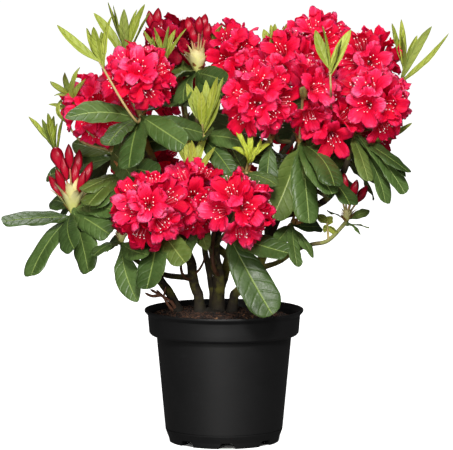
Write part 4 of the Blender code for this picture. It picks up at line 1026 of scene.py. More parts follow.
def barkFinish():
    finish = Finish("bark")
    big = finish.noise(55, 4, 0.6)
    fine = finish.noise(420, 3, 0.65)
    moss = finish.noise(38, 3, 0.6)
    colour = finish.mix(((big - 0.3) * 2.0).clamp(), (0.009, 0.006, 0.003), (0.075, 0.050, 0.024))
    high = ((finish.parts(finish.place())[2] - 0.190) * 32).clamp()
    colour = finish.mix(((moss - 0.46) * 7).clamp() * high * 0.75, colour, (0.19, 0.18, 0.022))
    colour = finish.mix(((fine - 0.58) * 5).clamp() * 0.4, colour, (0.20, 0.17, 0.07))
    colour = finish.mix((1 - high) * 0.85, colour, (0.008, 0.006, 0.003))  # darker towards the soil line
    return finish.done(colour, 0.72 + fine * 0.25, big * 0.6 + fine, 0.8, 0.0012)


def deadWoodFinish():
    finish = Finish("dead_wood")
    fine = finish.noise(300, 3, 0.6)
    return finish.done(finish.mix(fine, (0.16, 0.06, 0.035), (0.40, 0.19, 0.11)), 0.6 + fine * 0.3, fine, 0.6, 0.0008)


twigColours = dict(
    oldTwig=((0.10, 0.075, 0.03), (0.20, 0.17, 0.06)), newTwig=((0.20, 0.22, 0.06), (0.34, 0.33, 0.11)),
    shoot=((0.32, 0.23, 0.08), (0.56, 0.46, 0.20)), reddish=((0.07, 0.025, 0.012), (0.20, 0.085, 0.035)),
)


def twigFinish(name):
    low, high = twigColours[name]
    finish = Finish(name)
    patch = finish.noise(70, 3)
    fine = finish.noise(500, 2)
    colour = finish.mix(((patch - 0.25) * 1.6 + (fine - 0.5) * 0.6).clamp(), low, high)
    return finish.done(colour, 0.5 + fine * 0.25, fine, 0.5, 0.0006)


gradedLooks = dict(  # stops along the tint attribute, roughness, grain
    bud_crimson=(
        (
            (0, (0.46, 0.012, 0.035)), (0.3, (0.40, 0.0015, 0.020)), (0.8, (0.29, 0.001, 0.013)),
            (1, (0.16, 0.001, 0.008)),
        ),
        0.36, 300,
    ),
    floret_stalk=(((0, (0.34, 0.36, 0.11)), (0.6, (0.40, 0.30, 0.12)), (1, (0.42, 0.10, 0.07))), 0.5, 300),
    bud_scale=(
        ((0, (0.34, 0.36, 0.07)), (0.35, (0.58, 0.58, 0.19)), (0.8, (0.74, 0.68, 0.34)), (1, (0.46, 0.28, 0.10))),
        0.6, 180,
    ),
    bract=(((0, (0.30, 0.24, 0.07)), (0.5, (0.36, 0.17, 0.05)), (1, (0.22, 0.08, 0.025))), 0.65, 180),
    filament=(((0, (0.76, 0.03, 0.09)), (1, (0.86, 0.20, 0.28))), 0.5, 300),
)


def gradedFinish(name):
    stops, roughness, grain = gradedLooks[name]
    finish = Finish(name, Specular_IOR_Level=0.3)
    fine = finish.noise(grain, 3, 0.6)
    place = (finish.attribute("tint") + (fine - 0.5) * 0.3).clamp()
    colour = finish.add("ShaderNodeValToRGB", dict(stops=stops), [place])
    return finish.done(colour, roughness + (fine - 0.5) * 0.25, fine)


def antherFinish():
    finish = Finish("anther")
    fine = finish.noise(900, 2)
    return finish.done(finish.mix(fine, (0.84, 0.58, 0.58), (0.96, 0.86, 0.85)), 0.6 + fine * 0.2)


def potFinish():
    finish = Finish("pot_plastic", Specular_IOR_Level=0.36)
    fine = finish.noise(1400, 2)
    patch = finish.noise(14, 4, 0.6)
    stretched = finish.add("ShaderNodeMapping", {}, dict(Vector=finish.place(), Scale=(30, 30, 260)))
    rubbed = finish.noise(1, 4, 0.7, place=stretched)
    wear = ((rubbed - 0.62) * 6).clamp() * 0.3
    colour = finish.mix(patch, (0.0036, 0.0036, 0.0039), (0.0058, 0.0058, 0.0062))
    colour = finish.mix(wear, colour, (0.016, 0.016, 0.017))
    roughness = (0.44 + patch * 0.12 + wear * 0.25).clamp()
    return finish.done(colour, roughness, fine * 0.5 + rubbed * 0.2, 0.25, 0.0004)


def soilFinish():
    finish = Finish("peat")
    big = finish.noise(120, 4, 0.7)
    fine = finish.noise(700, 3, 0.7)
    colour = finish.mix(((big - 0.36) * 2.8).clamp(), (0.002, 0.001, 0.0007), (0.045, 0.018, 0.008))
    colour = finish.mix(((fine - 0.60) * 6).clamp() * 0.7, colour, (0.17, 0.075, 0.03))
    return finish.done(colour, 0.85 + fine * 0.12, big + fine * 0.7, 1.0, 0.003)


def crumbFinish(name, low, high):
    finish = Finish(name)
    fine = finish.noise(500, 3, 0.6)
    patch = finish.noise(130, 2)  # so that each crumb has its own shade
    colour = finish.mix(((patch - 0.42) * 3.5 + (fine - 0.4) * 0.7).clamp(), low, high)
    return finish.done(colour, 0.75 + fine * 0.2, fine, 0.8, 0.001)


# Mesh makers for the fine forms.


def addShell(pile, top, bottom, topSlot, bottomSlot, **marks):
    # a closed thin shell of two grids of points that share their border; marks are grids too
    rings, across = top.shape[:2]
    inner = np.zeros((rings, across), bool)
    inner[1:-1, 1:-1] = True
    first = pile.points(top, **{name: np.broadcast_to(m, (rings, across)).ravel() for name, m in marks.items()})
    upper = first + np.arange(rings * across).reshape(rings, across)
    under = {name: np.broadcast_to(m, (rings, across))[inner] for name, m in marks.items()}
    second = pile.points(bottom[inner], **under)
    lower = upper.copy()
    lower[inner] = second + np.arange(inner.sum())
    v, u = np.meshgrid(np.linspace(0, 1, rings), np.linspace(0, 1, across), indexing="ij")
    uv = np.stack([u, v], -1)
    if np.ndim(topSlot):  # one slot for each ring
        topSlot = bottomSlot = np.repeat(np.asarray(topSlot)[:rings - 1], across - 1)
    pile.addFaces(cornersOf(upper), topSlot, cornersOf(uv))
    pile.addFaces(cornersOf(lower)[::-1], bottomSlot, cornersOf(uv)[::-1])


def cornersOf(grid):
    return [grid[:-1, :-1], grid[:-1, 1:], grid[1:, 1:], grid[1:, :-1]]


def frames(path):
    # two directions square to a path at each of its points, without twist
    way = unit(np.gradient(path, axis=0))
    across = np.array(Vector(way[0]).orthogonal())
    acrosses = []
    for w in way:
        across = across - w * across.dot(w)
        across = across / max(np.linalg.norm(across), 1e-9)
        acrosses.append(across)
    acrosses = np.array(acrosses)
    return way, acrosses, np.cross(way, acrosses)


def addTube(pile, path, radii, sides, slot=0, lobes=1.0, marks={}):
    # a round limb with closed ends; lobes is a grid of factors on the radius; marks have one value a ring
    path = np.asarray(path, float)
    radii = np.broadcast_to(np.asarray(radii, float), len(path))
    way, across, side = frames(path)
    turns = turnsOf(sides)
    ring = across[:, None] * np.cos(turns)[None, :, None] + side[:, None] * np.sin(turns)[None, :, None]
    grid = path[:, None] + ring * (radii[:, None] * (np.ones((len(path), sides)) * lobes))[..., None]
    ends = [path[0] - way[0] * radii[0] * 0.3, path[-1] + way[-1] * radii[-1] * 0.3]
    v = runOf(path)
    v = v / max(v[-1], 1e-9)
    u = np.arange(sides + 1) / sides
    maps = cornersOf(np.stack(np.meshgrid(v, u, indexing="ij")[::-1], -1))
    if np.ndim(slot):
        slot = np.repeat(np.asarray(slot)[:len(path) - 1], sides)
    pile.addRings(grid, ends, slot, maps, **{name: np.repeat(np.asarray(m, float), sides) for name, m in marks.items()})


def runOf(path):
    # how far along the path each of its points is
    return np.concatenate([[0], np.cumsum(np.linalg.norm(np.diff(path, axis=0), axis=1))])


def arraysOf(fact, *keys):
    return [np.array(tuple(fact[key]), float) for key in keys]


def resample(path, step):
    # the path as points this far apart
    path = np.array([tuple(p) for p in path], float)
    run = runOf(path)
    count = max(int(round(run[-1] / step)), 2) + 1
    places = np.linspace(0, run[-1], count)
    return np.stack([np.interp(places, run, path[:, i]) for i in range(3)], -1), places


def noiseAt(points, size, seed=0.0):
    # smooth noise of about -1 to 1 at each point, its features this many millimetres across
    flat = np.asarray(points, float).reshape(-1, 3)
    values = [noise.noise(Vector(p) / size + Vector((seed, seed * 1.7, -seed))) for p in flat]
    return np.array(values).reshape(np.shape(points)[:-1])


# Bark: root flare, stems and boughs, with the relief in the mesh.

barkSizes = dict(sides=20, step=2.6, relief=0.11, fine=0.05, scarStep=19, scar=0.07,
                 slim=dict(stem_left=0.88, stem_thin=0.66, stem_middle=0.9))


def barkRelief(places, turnCount, seed):
    turns = turnsOf(turnCount)
    ring = np.stack([np.cos(turns), np.sin(turns)], -1)
    spots = np.zeros((len(places), turnCount, 3))
    spots[..., 0] = ring[None, :, 0] * 6
    spots[..., 1] = ring[None, :, 1] * 6
    spots[..., 2] = places[:, None]
    lobes = 1 + barkSizes["relief"] * noiseAt(spots * (1, 1, 0.35), 5.0, seed)
    lobes += barkSizes["fine"] * noiseAt(spots, 1.7, seed + 3)
    scars = np.abs((places / barkSizes["scarStep"] + seed * 0.37) % 1 - 0.5) * barkSizes["scarStep"]
    side = 0.5 + 0.5 * np.cos(turns[None, :] - seed * 2 - places[:, None] * 0.13)
    lobes += barkSizes["scar"] * np.exp(-(scars[:, None] / 1.6) ** 2) * side
    return lobes


def addLimb(pile, fact, sides, slot, swell=0.32, taperOut=False):
    path, places = resample(fact["path"], barkSizes["step"])
    share = places / places[-1]
    radii = fact["radii"][0] + (fact["radii"][1] - fact["radii"][0]) * share
    radii = radii * (1 + swell * np.exp(-(places / (9 + 9 * swell)) ** 2))
    if taperOut:
        radii = radii * np.sqrt(np.clip(1 - ((places - places[-1] + 4) / 4.5).clip(0) ** 2, 0.02, 1))
    seed = sum(ord(letter) for letter in fact["node"]) % 97 * 0.61 + len(path) * 0.1
    addTube(pile, path, radii, sides, slot, lobes=barkRelief(places, sides, seed))


# Thin side twigs low between the stems: (dead wood or live, radii, points).
sideTwigs = (
    (2, (2.6, 1.8), ((-45, 2, 237), (-54, -8, 238), (-61, -14, 247), (-62, -16, 261), (-56, -16, 269))),
    (2, (2.0, 1.4), ((-45, 1, 241), (-36, -8, 251), (-30, -10, 262), (-27, -10, 274))),
    (2, (3.2, 2.4), ((-6, 6, 240), (-13, -16, 250), (-17, -22, 270), (-16, -26, 293), (-13, -34, 308))),
    (1, (2.4, 1.2), ((-74, 6, 190), (-80, -6, 198), (-89, -14, 214), (-98, -18, 223))),
    (1, (1.7, 1.0), ((-87, -12, 211), (-86, -16, 220), (-84, -18, 228))),
)


def makeBark(grown):
    pile = Pile()
    for fact in grown.all("limb"):
        onGround = fact["path"][0].z < 220 and fact["node"] in limbs
        if onGround:
            # these stems stand in the soil side by side, each on its own foot
            line = fact["path"][6:]
            foot = Vector((*(Vector(rootCrown["middle"]) * 0.12 + line[0].xy * 0.88), soil["crown"] - 5))
            slim = barkSizes["slim"].get(fact["node"], 1)
            radii = (fact["radii"][0] * slim, fact["radii"][1])
            fact = dict(fact, path=[foot, foot.lerp(line[0], 0.5), *line], radii=radii)
        addLimb(pile, fact, barkSizes["sides"], 0, swell=0.36 if onGround else 0.32)
    for slot, radii, line in sideTwigs:
        path = smoothPath([Vector(point) for point in line])
        addLimb(pile, dict(path=path, radii=radii, node="side"), 10, slot, swell=0, taperOut=True)
    for fact in grown.all("deadTwig"):
        addLimb(pile, fact, 10, 1, swell=0, taperOut=True)
    addMound(pile)
    return pile.build("bark", [barkFinish(), deadWoodFinish(), twigFinish("reddish")], sharp=70)


mound = dict(low=-6, high=5, rings=15, sides=60, lobes=5, lobeDeep=0.16, folds=11, foldDeep=0.05, rough=1.2)


def addMound(pile):
    # the root crown, a low lobed mound where the stems meet the soil
    low, high, middle, base = mound["low"], mound["high"], rootCrown["middle"], soil["crown"]
    heights = np.linspace(low, high, mound["rings"])[:, None]
    turns = turnsOf(mound["sides"])[None]
    stations, *widths = np.array(rootCrown["flare"], float).T
    shrink = (1 - 0.3 * smoothStep(2, 14, heights)) * np.sqrt(np.maximum(1 - (heights.clip(0) / high) ** 2, 0.0004))
    lobe = 1 + (mound["lobeDeep"] - 0.004 * heights) * np.cos(mound["lobes"] * turns + 0.4)
    lobe = lobe + mound["foldDeep"] * np.cos(mound["folds"] * turns + heights * 0.2)
    x, y = [np.interp(heights, stations, wide) * shrink * lobe for wide in widths]
    out = np.stack([x * np.cos(turns), y * np.sin(turns), 0 * x], -1)
    grid = out + (*middle, base)
    grid[..., 2] += heights
    grid = grid + unit(out) * (mound["rough"] * noiseAt(grid * (1, 1, 0.5), 4.5, 5.0))[..., None]
    pile.addRings(grid, [[*middle, base + low], [*middle, base + high + 0.1]])


# Leaves: one shell maker for grown leaves, young leaves, bud scales and bracts.

outlines = dict(  # (place along the blade, part of its half width)
    oblong=(
        (0, 0.06), (0.06, 0.3), (0.15, 0.6), (0.3, 0.84), (0.5, 0.97), (0.7, 1.0), (0.86, 0.95), (0.95, 0.8),
        (0.985, 0.56), (1, 0.24),
    ),
    oval=(
        (0, 0.05), (0.07, 0.24), (0.18, 0.56), (0.35, 0.88), (0.52, 1.0), (0.68, 0.95), (0.82, 0.74), (0.92, 0.46),
        (0.98, 0.2), (1, 0.05),
    ),
    slender=(
        (0, 0.2), (0.1, 0.45), (0.25, 0.78), (0.42, 0.98), (0.55, 1.0), (0.7, 0.88), (0.84, 0.62), (0.94, 0.34),
        (1, 0.05),
    ),
)
leafKinds = dict(
    mature=dict(
        rings=25, across=11, petiole=0.07, plate=0.5, stalk=2.6, curl=(0.14, 0.5),
        wave=(0.9, 2.2), bow=(0.02, 0.1), sway=(-0.06, 0.06), twist=(-16, 16), keel=0.26, rib=1.5,
    ),
    young=dict(
        rings=13, across=9, petiole=0.02, plate=0.7, stalk=2.4, curl=(0.4, 0.8),
        wave=(0.3, 1.0), bow=(-0.06, 0.04), sway=(-0.06, 0.06), twist=(-30, 30), keel=0.8, rib=1.1,
    ),
)
leafKinds["curled"] = dict(leafKinds["young"], bow=(0.16, 0.34), sway=(-0.2, 0.2), twist=(-60, 60), curl=(0.9, 1.3))
shootHabit = dict(  # how far new leaves turn to the light; shoots drawn forward; broader and curled ones
    turn=0.7, stray=0.6, widths=(0.95, 1.2), forward=dict(truss_top_centre=-66, truss_far_left=-44),
    broad=("truss_right", "truss_right_front"), broadTo=1.12,
    curled=("leaves_centre_right", "truss_far_left"), curledTo=0.62,
    tuck=dict(node="truss_right_front", below=528, over=46, back=74),
)


def drawn(node, point):
    # shoots stand before the flower heads or tuck in between them, as the light found them
    point = np.array(tuple(point), float)
    if node in shootHabit["forward"]:
        point[1] += shootHabit["forward"][node]
    tuck = shootHabit["tuck"]
    if node == tuck["node"]:
        point[1] += tuck["back"] * smoothStep(0, tuck["over"], tuck["below"] - point[2])
    return point


def addLeaf(pile, base, tip, facing, width, kind, outline, chance, topSlot, underSlot):
    base, tip, facing = (np.array(tuple(v), float) for v in (base, tip, facing))
    run = tip - base
    length = np.linalg.norm(run)
    way = run / length
    side = unit(np.cross(way, facing))
    face = unit(np.cross(side, way))
    bow, sway, curl, wave, twist = (chance.uniform(*kind[key]) for key in ("bow", "sway", "curl", "wave", "twist"))
    s = np.linspace(0, 1, kind["rings"])
    t = 0.45 * s + 0.55 * (1 - np.cos(math.pi * s)) / 2
    centre = base + run * t[:, None] + (face * bow + side * sway) * (4 * length * t * (1 - t))[:, None]
    tangent = unit(np.gradient(centre, axis=0))
    roll = math.radians(twist) * (t - 0.3)
    side = unit(np.cross(tangent, face)) * np.cos(roll)[:, None] + face * np.sin(roll)[:, None]
    lift = unit(np.cross(side, tangent))
    lamina = np.clip((t - kind["petiole"]) / (1 - kind["petiole"]), 0, 1)
    knots = np.array(outline, float)
    places = np.linspace(0, 1, 81)
    smooth = np.convolve(np.pad(np.interp(places, *knots.T), 3, mode="edge"), np.ones(7) / 7, mode="valid")
    shape = np.interp(lamina, places, np.where(places > 0.97, np.interp(places, *knots.T), smooth))
    shape = shape * (1 + 0.03 * np.sin(9 * t + chance.uniform(0, 6)) + 0.02 * np.sin(29 * t + chance.uniform(0, 6)))
    half = np.maximum(width / 2 * shape, kind["stalk"] / 2 * (1 - smoothStep(0.0, 0.5, lamina)))
    half = np.maximum(half, 0.25)
    u = np.linspace(-1, 1, kind["across"])
    hump = kind["keel"] * np.abs(u) - curl * np.abs(u) ** 2.3
    high = half[:, None] * hump[None] * smoothStep(0.0, 0.2, lamina)[:, None]
    waves, phase, other = chance.uniform(1.6, 3.2), chance.uniform(0, 6.3), chance.uniform(0, 6.3)
    ripple = np.where(u > 0, *(np.sin(waves * 2 * math.pi * t[:, None] + start) for start in (phase, other)))
    ripple = ripple + 0.35 * np.sin(2.4 * waves * 2 * math.pi * t[:, None] + other + u * 2)
    high = high + wave * np.abs(u) ** 2 * ripple * (shape * smoothStep(0, 0.15, lamina))[:, None]
    middle = centre[:, None] + side[:, None] * (half[:, None] * np.sin(u * math.pi / 2 * 0.999)[None])[..., None]
    middle = middle + lift[:, None] * high[..., None]
    petioleRound = (1 - smoothStep(0.0, 0.12, lamina))[:, None] * np.sqrt(np.clip(1 - u ** 2, 0, 1))[None]
    petioleRound = petioleRound * kind["stalk"] / 2
    rib = kind["rib"] * (1 - 0.8 * t)[:, None] * np.exp(-(u / 0.16) ** 2)[None]
    top = middle + lift[:, None] * (kind["plate"] / 2 + petioleRound - 0.35 * rib * shape[:, None])[..., None]
    bottom = middle - lift[:, None] * (kind["plate"] / 2 + petioleRound + 0.8 * rib)[..., None]
    addShell(pile, top, bottom, topSlot, underSlot)


leafHabit = dict(  # how far leaves turn to the light, and the masses whose leaves are narrower
    turn=0.5, narrow=("truss_far_right", "leaves_right", "truss_right", "buds_right"), narrowTo=0.74,
    inner=("buds_far_left",), innerTurn=-0.1, shorter=("leaves_left",), shorterTo=0.8,
    shapes={("truss_front_right", 0): "oblong", ("truss_left", 0): "oval"},
)


def makeLeaves(grown):
    pile = Pile()
    chance = random.Random("leaf shapes")
    order = {}
    for fact in grown.all("leaf"):
        shade = chance.choices((0, 1, 2), (4, 4, 2))[0]
        order[fact["node"]] = order.get(fact["node"], -1) + 1
        usual = chance.choices(("oblong", "oval"), (3, 1))[0]
        outline = outlines[leafHabit["shapes"].get((fact["node"], order[fact["node"]]), usual)]
        base, tip = fact["base"], fact["tip"]
        facing = fact["facing"].normalized()
        node = fact["node"]
        if node in leafHabit["shorter"]:
            tip = base.lerp(tip, leafHabit["shorterTo"])
        if base.y < 30:
            inner = node in leafHabit["inner"] and tip.x > base.x
            facing = facing + Vector((0, -(leafHabit["innerTurn"] if inner else leafHabit["turn"]), 0))
        width = fact["width"] * (leafHabit["narrowTo"] if node in leafHabit["narrow"] else 1.02)
        addLeaf(pile, base, tip, facing, width, leafKinds["mature"], outline, chance, shade, 3)
    return pile.build("leaves", leafFinishes(), sharp=75)


def makeYoungLeaves(grown):
    pile = Pile()
    chance = random.Random("young leaf shapes")
    for fact in grown.all("blade"):
        node = fact["node"]
        curled = node in shootHabit["curled"]
        shade = chance.choices((0, 1), (3, 2))[0]
        stray = Vector([chance.uniform(-1, 1) for _ in range(3)]) * shootHabit["stray"]
        facing = fact["facing"].normalized() + stray + Vector((0, -shootHabit["turn"] * (fact["base"].y < 60), 0))
        broader = shootHabit["broadTo"] if node in shootHabit["broad"] else 1
        width = fact["width"] * chance.uniform(*shootHabit["widths"]) * broader
        if curled:
            width *= shootHabit["curledTo"]
            shade = 3 if node == shootHabit["curled"][0] else 0
        kind = leafKinds["curled" if curled else "young"]
        base, tip = drawn(node, fact["base"]), drawn(node, fact["tip"])
        addLeaf(pile, base, tip, facing, width, kind, outlines["slender"], chance, shade, 2)
        if shade == 3:
            # a smaller one beside it
            spin = Matrix.Rotation(math.radians(chance.choice((-1, 1)) * chance.uniform(25, 55)), 3, "Y")
            small = base + np.array(spin @ Vector(tip - base)) * 0.62
            addLeaf(pile, base, small, facing + stray, width, kind, outlines["slender"], chance, shade, 2)
    return pile.build("young_leaves", youngLeafFinishes(), sharp=75)


# Florets: five broad ruffled lobes that overlap, round a funnel.

petal = dict(
    rings=10, across=13, thick=0.4,
    profile=((14, 2.6), (21, 4.0), (28, 6.6), (34, 9.9), (39, 13.6), (43, 17.6), (46, 21.8), (48, 26.2), (49, 31)),
    half=36, widen=10, narrow=7, notch=(0.38, 0.50), ruffle=(1.4, 2.8), fine=(0.8, 1.7), reflex=(-9, 3), tilt=1.5,
    groove=1.2, crumple=2.3, crease=1.1, cup=(-2.5, 2.0),
)


def addFloret(pile, fact, chance, shade):
    hub, way = arraysOf(fact, "hub", "way")
    side = np.array(tuple(Vector(way).cross(up if abs(way[2]) < 0.9 else Vector((0, 1, 0))).normalized()))
    rise = np.cross(side, way)
    profile = np.array(petal["profile"], float)
    known = np.linspace(0, 1, len(profile))
    v = (np.linspace(0, 1, petal["rings"]) ** 0.9)[:, None]
    u = np.linspace(-1, 1, petal["across"])[None]
    flat = np.ones_like(v * u)
    for k in range(5):
        turn = fact["turn"] + 2 * math.pi * k / 5
        below = 0.5 - 0.5 * math.cos(turn)  # 0 for the upper lobe, 1 for the lower ones
        notch = chance.uniform(*petal["notch"])
        reach = v * (1 - notch * np.abs(u) ** 2.3 * smoothStep(0.25, 1, v))
        reach = reach * (1 + 0.025 * np.sin(5.2 * u + chance.uniform(0, 6)) * v)
        z = np.interp(reach, known, profile[:, 0])
        r = np.interp(reach, known, profile[:, 1]) * (1 + (chance.uniform(-0.08, 0.04) + 0.05 * below) * v)
        flare = smoothStep(0.3, 1.0, v)
        half = petal["half"] + petal["widen"] * smoothStep(0.25, 0.6, v) - petal["narrow"] * smoothStep(0.65, 1, v)
        angle = turn + np.radians(u * half + chance.uniform(-4, 4) * v)
        angle = angle + np.radians(2.2 * np.sin(5 * v + chance.uniform(0, 6)) * u * flare)
        bend, hollow = chance.uniform(*petal["reflex"]), chance.uniform(*petal["cup"])
        waves, phase = chance.uniform(1.4, 2.3), chance.uniform(0, 6.3)
        z = z + bend * flare ** 1.6 + hollow * u ** 2 * flare + petal["tilt"] * u * smoothStep(0.2, 0.6, v)
        z = z + chance.uniform(*petal["ruffle"]) * np.sin(waves * math.pi * u + phase) * flare
        z = z + chance.uniform(*petal["fine"]) * np.sin(2.6 * waves * math.pi * u + 2 * phase) * smoothStep(0.6, 1, v)
        z = z - petal["groove"] * np.exp(-(u / 0.16) ** 2) * smoothStep(0.15, 0.5, v) * (1 - 0.5 * v)
        z = z + petal["crease"] * np.cos(3.4 * math.pi * u) * flare * (1 - np.abs(u))
        ring = rise[None, None] * np.cos(angle)[..., None] + side[None, None] * np.sin(angle)[..., None]
        grid = hub + (way * z[..., None] + ring * r[..., None]) * fact["size"]
        wrinkle = noiseAt(grid, 8.5) + 0.5 * noiseAt(grid, 4.0, 3.0)
        grid = grid + way * (petal["crumple"] * flare * wrinkle)[..., None]
        along = np.gradient(grid, axis=0)
        acrossWay = np.gradient(grid, axis=1)
        normal = unit(np.cross(acrossWay, along))
        thin = petal["thick"] / 2
        blotch = (k == 0) * np.exp(-((v - 0.5) / 0.2) ** 2) * (1 - np.abs(u)) * flat
        zones = [0 if place < 0.3 else 1 if place < 0.8 else 2 for place in v[:-1, 0]]
        slots = np.array(zones) + 3 * shade
        dice = chance.random() * flat
        marks = dict(tint=reach * flat, blotch=blotch, dice=dice)
        addShell(pile, grid + normal * thin, grid - normal * thin, slots, slots, **marks)


paintedShadeHeads = ("truss_top_left",)  # heads that get the painted shade colours, as they stand in the plant's shadow


def makeFlorets(grown):
    # in three pieces, each truss whole in one of them
    facts = grown.all("floret")
    total = len(facts)
    piles = [Pile(), Pile(), Pile()]
    chance = random.Random("floret shapes")
    done = 0
    for name in masses:
        for fact in [fact for fact in facts if fact["node"] == name]:
            shade = chance.choices((0, 1, 2), (4, 2, 4))[0]
            if name in paintedShadeHeads or "rear" in name and fact["way"].y < 0.15:
                shade = 3  # these face into the plant, so they get the painted shade colours
            addFloret(piles[min(done * 3 // total, 2)], fact, chance, shade)
        done += len([fact for fact in facts if fact["node"] == name])
    finishes = petalFinishes()
    return [pile.build(f"florets_{k + 1}", finishes, sharp=None) for k, pile in enumerate(piles)]


# Stalks: twigs that carry the masses, the florets' own stalks, buds and knobs.

stalkSizes = dict(shoot=0.75, sides=12, step=4, pedicelSides=7)


def makeTwigs(grown):
    pile = Pile()
    for fact in grown.all("stalk"):
        path, places = resample(fact["path"], stalkSizes["step"])
        share = places / places[-1]
        radii = np.interp(share, (0, 1), fact["radii"]) * (1 + 0.12 * smoothStep(0.8, 1, share))
        seed = sum(ord(letter) for letter in fact["node"]) % 89 * 0.53
        lobes = barkRelief(places, stalkSizes["sides"], seed) * 0.5 + 0.5
        slots = np.where(share < 0.45, 0, 1)
        addTube(pile, path, radii, stalkSizes["sides"], slots, lobes=lobes)
    for fact in grown.all("twig"):
        path, places = resample(fact["path"], 3)
        share = places / places[-1]
        moved = np.array([drawn(fact["node"], point) for point in path])
        path = path + (moved - path) * smoothStep(0, 0.6, share)[:, None] * (fact["radii"] == limbSizes["candle"])
        radii = np.interp(share, (0, 1), fact["radii"]) * stalkSizes["shoot"]
        addTube(pile, path, radii, 10, 2)
    return pile.build("twigs", [twigFinish("oldTwig"), twigFinish("newTwig"), twigFinish("shoot")], sharp=70)


budHabit = dict(
    fat=dict(buds_far_left=1.0, buds_top=1.05, buds_right=0.9),
    body=dict(buds_far_left=37, buds_top=26, buds_right=31),
    opened=("buds_far_left", 1), openedBy=1.6,
)


def makeBuds(grown):
    pile = Pile()
    chance = random.Random("bud shapes")
    order = {}
    for fact in grown.all("bud"):
        node = fact["node"]
        order[node] = order.get(node, -1) + 1
        opened = (node, order[node]) == budHabit["opened"]
        swollen = budHabit["fat"].get(node, 1.0) * (budHabit["openedBy"] if opened else 1)
        foot, tip = arraysOf(fact, "foot", "tip")
        run = tip - foot
        length = np.linalg.norm(run)
        t = np.linspace(0, 1, 15)
        body = min(budHabit["body"].get(node, 30), length * 0.8)
        start = 1 - body / length
        s = np.linspace(0, 1, 18)
        fat = np.sin(math.pi * np.clip(s, 0, 1) ** (1.5 if opened else 1.0)) ** (0.55 if opened else 0.8)
        radii = bud["radius"] * swollen * fat * chance.uniform(0.88, 1.06) + 0.3
        path = foot + run * (start + (1 - start) * s)[:, None]
        turns = turnsOf(15)
        twist = turns[None] + s[:, None] * 0.9
        lobes = 1 + 0.15 * np.cos(5 * twist) * fat[:, None] + 0.06 * np.cos(3 * twist + 1 + 4 * s[:, None])
        addTube(pile, path, radii, 15, 0, lobes=lobes, marks=dict(tint=s))
        stalk = foot + run * (t * start)[:, None] + np.array([0, 0, 1.0]) * (1.2 * np.sin(math.pi * t))[:, None]
        addTube(pile, stalk, np.linspace(1.7, 1.3, 15), stalkSizes["pedicelSides"], 1, marks=dict(tint=t))
    return pile.build("buds", [gradedFinish("bud_crimson"), gradedFinish("floret_stalk")], sharp=80)


def makePedicels(grown):
    pile = Pile()
    hubs = {}
    for fact in grown.all("floret"):
        hub, way, collar = arraysOf(fact, "hub", "way", "collar")
        hubs[fact["node"]] = (hub, unit(hub - collar))
        foot = hub - unit(hub - collar) * 4
        end = hub + way * 15
        t = np.linspace(0, 1, 9)[:, None]
        path = foot * (1 - t) ** 2 + (hub + way * 4) * 2 * t * (1 - t) + end * t ** 2
        radii = np.interp(t[:, 0], (0, 0.8, 1), (1.5, 1.2, 2.6))
        addTube(pile, path, radii, stalkSizes["pedicelSides"], 0, marks=dict(tint=t[:, 0]))
    for hub, axis in hubs.values():
        t = np.linspace(-1, 1, 11)
        path = hub + axis * (t * knobRadius * 0.9)[:, None]
        radii = knobRadius * 0.7 * np.sqrt(np.clip(1 - t ** 2, 0.01, 1))
        turns = turnsOf(14)
        lobes = 1 + 0.12 * np.cos(7 * turns[None] + 5 * t[:, None])
        addTube(pile, path, radii, 14, 0, lobes=lobes, marks=dict(tint=np.zeros(11)))
    return pile.build("floret_stalks", [gradedFinish("floret_stalk")], sharp=80)


# Cups and bracts: papery scales round closed buds, and the small curled ones left at the collars.

scaleSizes = dict(rings=9, across=7, plate=0.5, hollow=0.4, cupCount=17, bractCount=7)
cupShapes = dict(  # (length, how far the tips lean out, width of a scale)
    buds_far_left=(62, 25, 14), buds_top=(52, 19, 17), buds_right=(26, 6, 8), buds_low_left=(26, 7, 9),
)


def addScale(pile, foot, axis, turn, length, width, spread, curl, slot, ring=3.0, belly=0.8):
    # one pointed scale that leaves the axis at this turn; spread is how far its tip leans out
    foot, axis = np.asarray(foot, float), unit(np.asarray(axis, float))
    side = np.array(tuple(Vector(axis).orthogonal().normalized()))
    other = np.cross(axis, side)
    out = side * math.cos(turn) + other * math.sin(turn)
    across = np.cross(axis, out)
    s = np.linspace(0, 1, scaleSizes["rings"])[:, None]
    u = np.linspace(-1, 1, scaleSizes["across"])[None]
    half = width / 2 * np.sin(math.pi * np.clip(s * 0.93 + 0.07, 0, 1) ** belly) ** 0.7 + 0.15
    lean = ring + spread * s ** 1.15 - curl * s ** 4
    rise = length * (s - 0.12 * s ** 3)
    bend = half * scaleSizes["hollow"] * u ** 2
    grid = foot + axis * (rise + 0 * u)[..., None] + out * (lean - bend)[..., None] + across * (half * u)[..., None]
    normal = unit(np.cross(np.gradient(grid, axis=1), np.gradient(grid, axis=0)))
    part = scaleSizes["plate"] / 2
    addShell(pile, grid + normal * part, grid - normal * part, slot, slot, tint=s * np.ones_like(u))


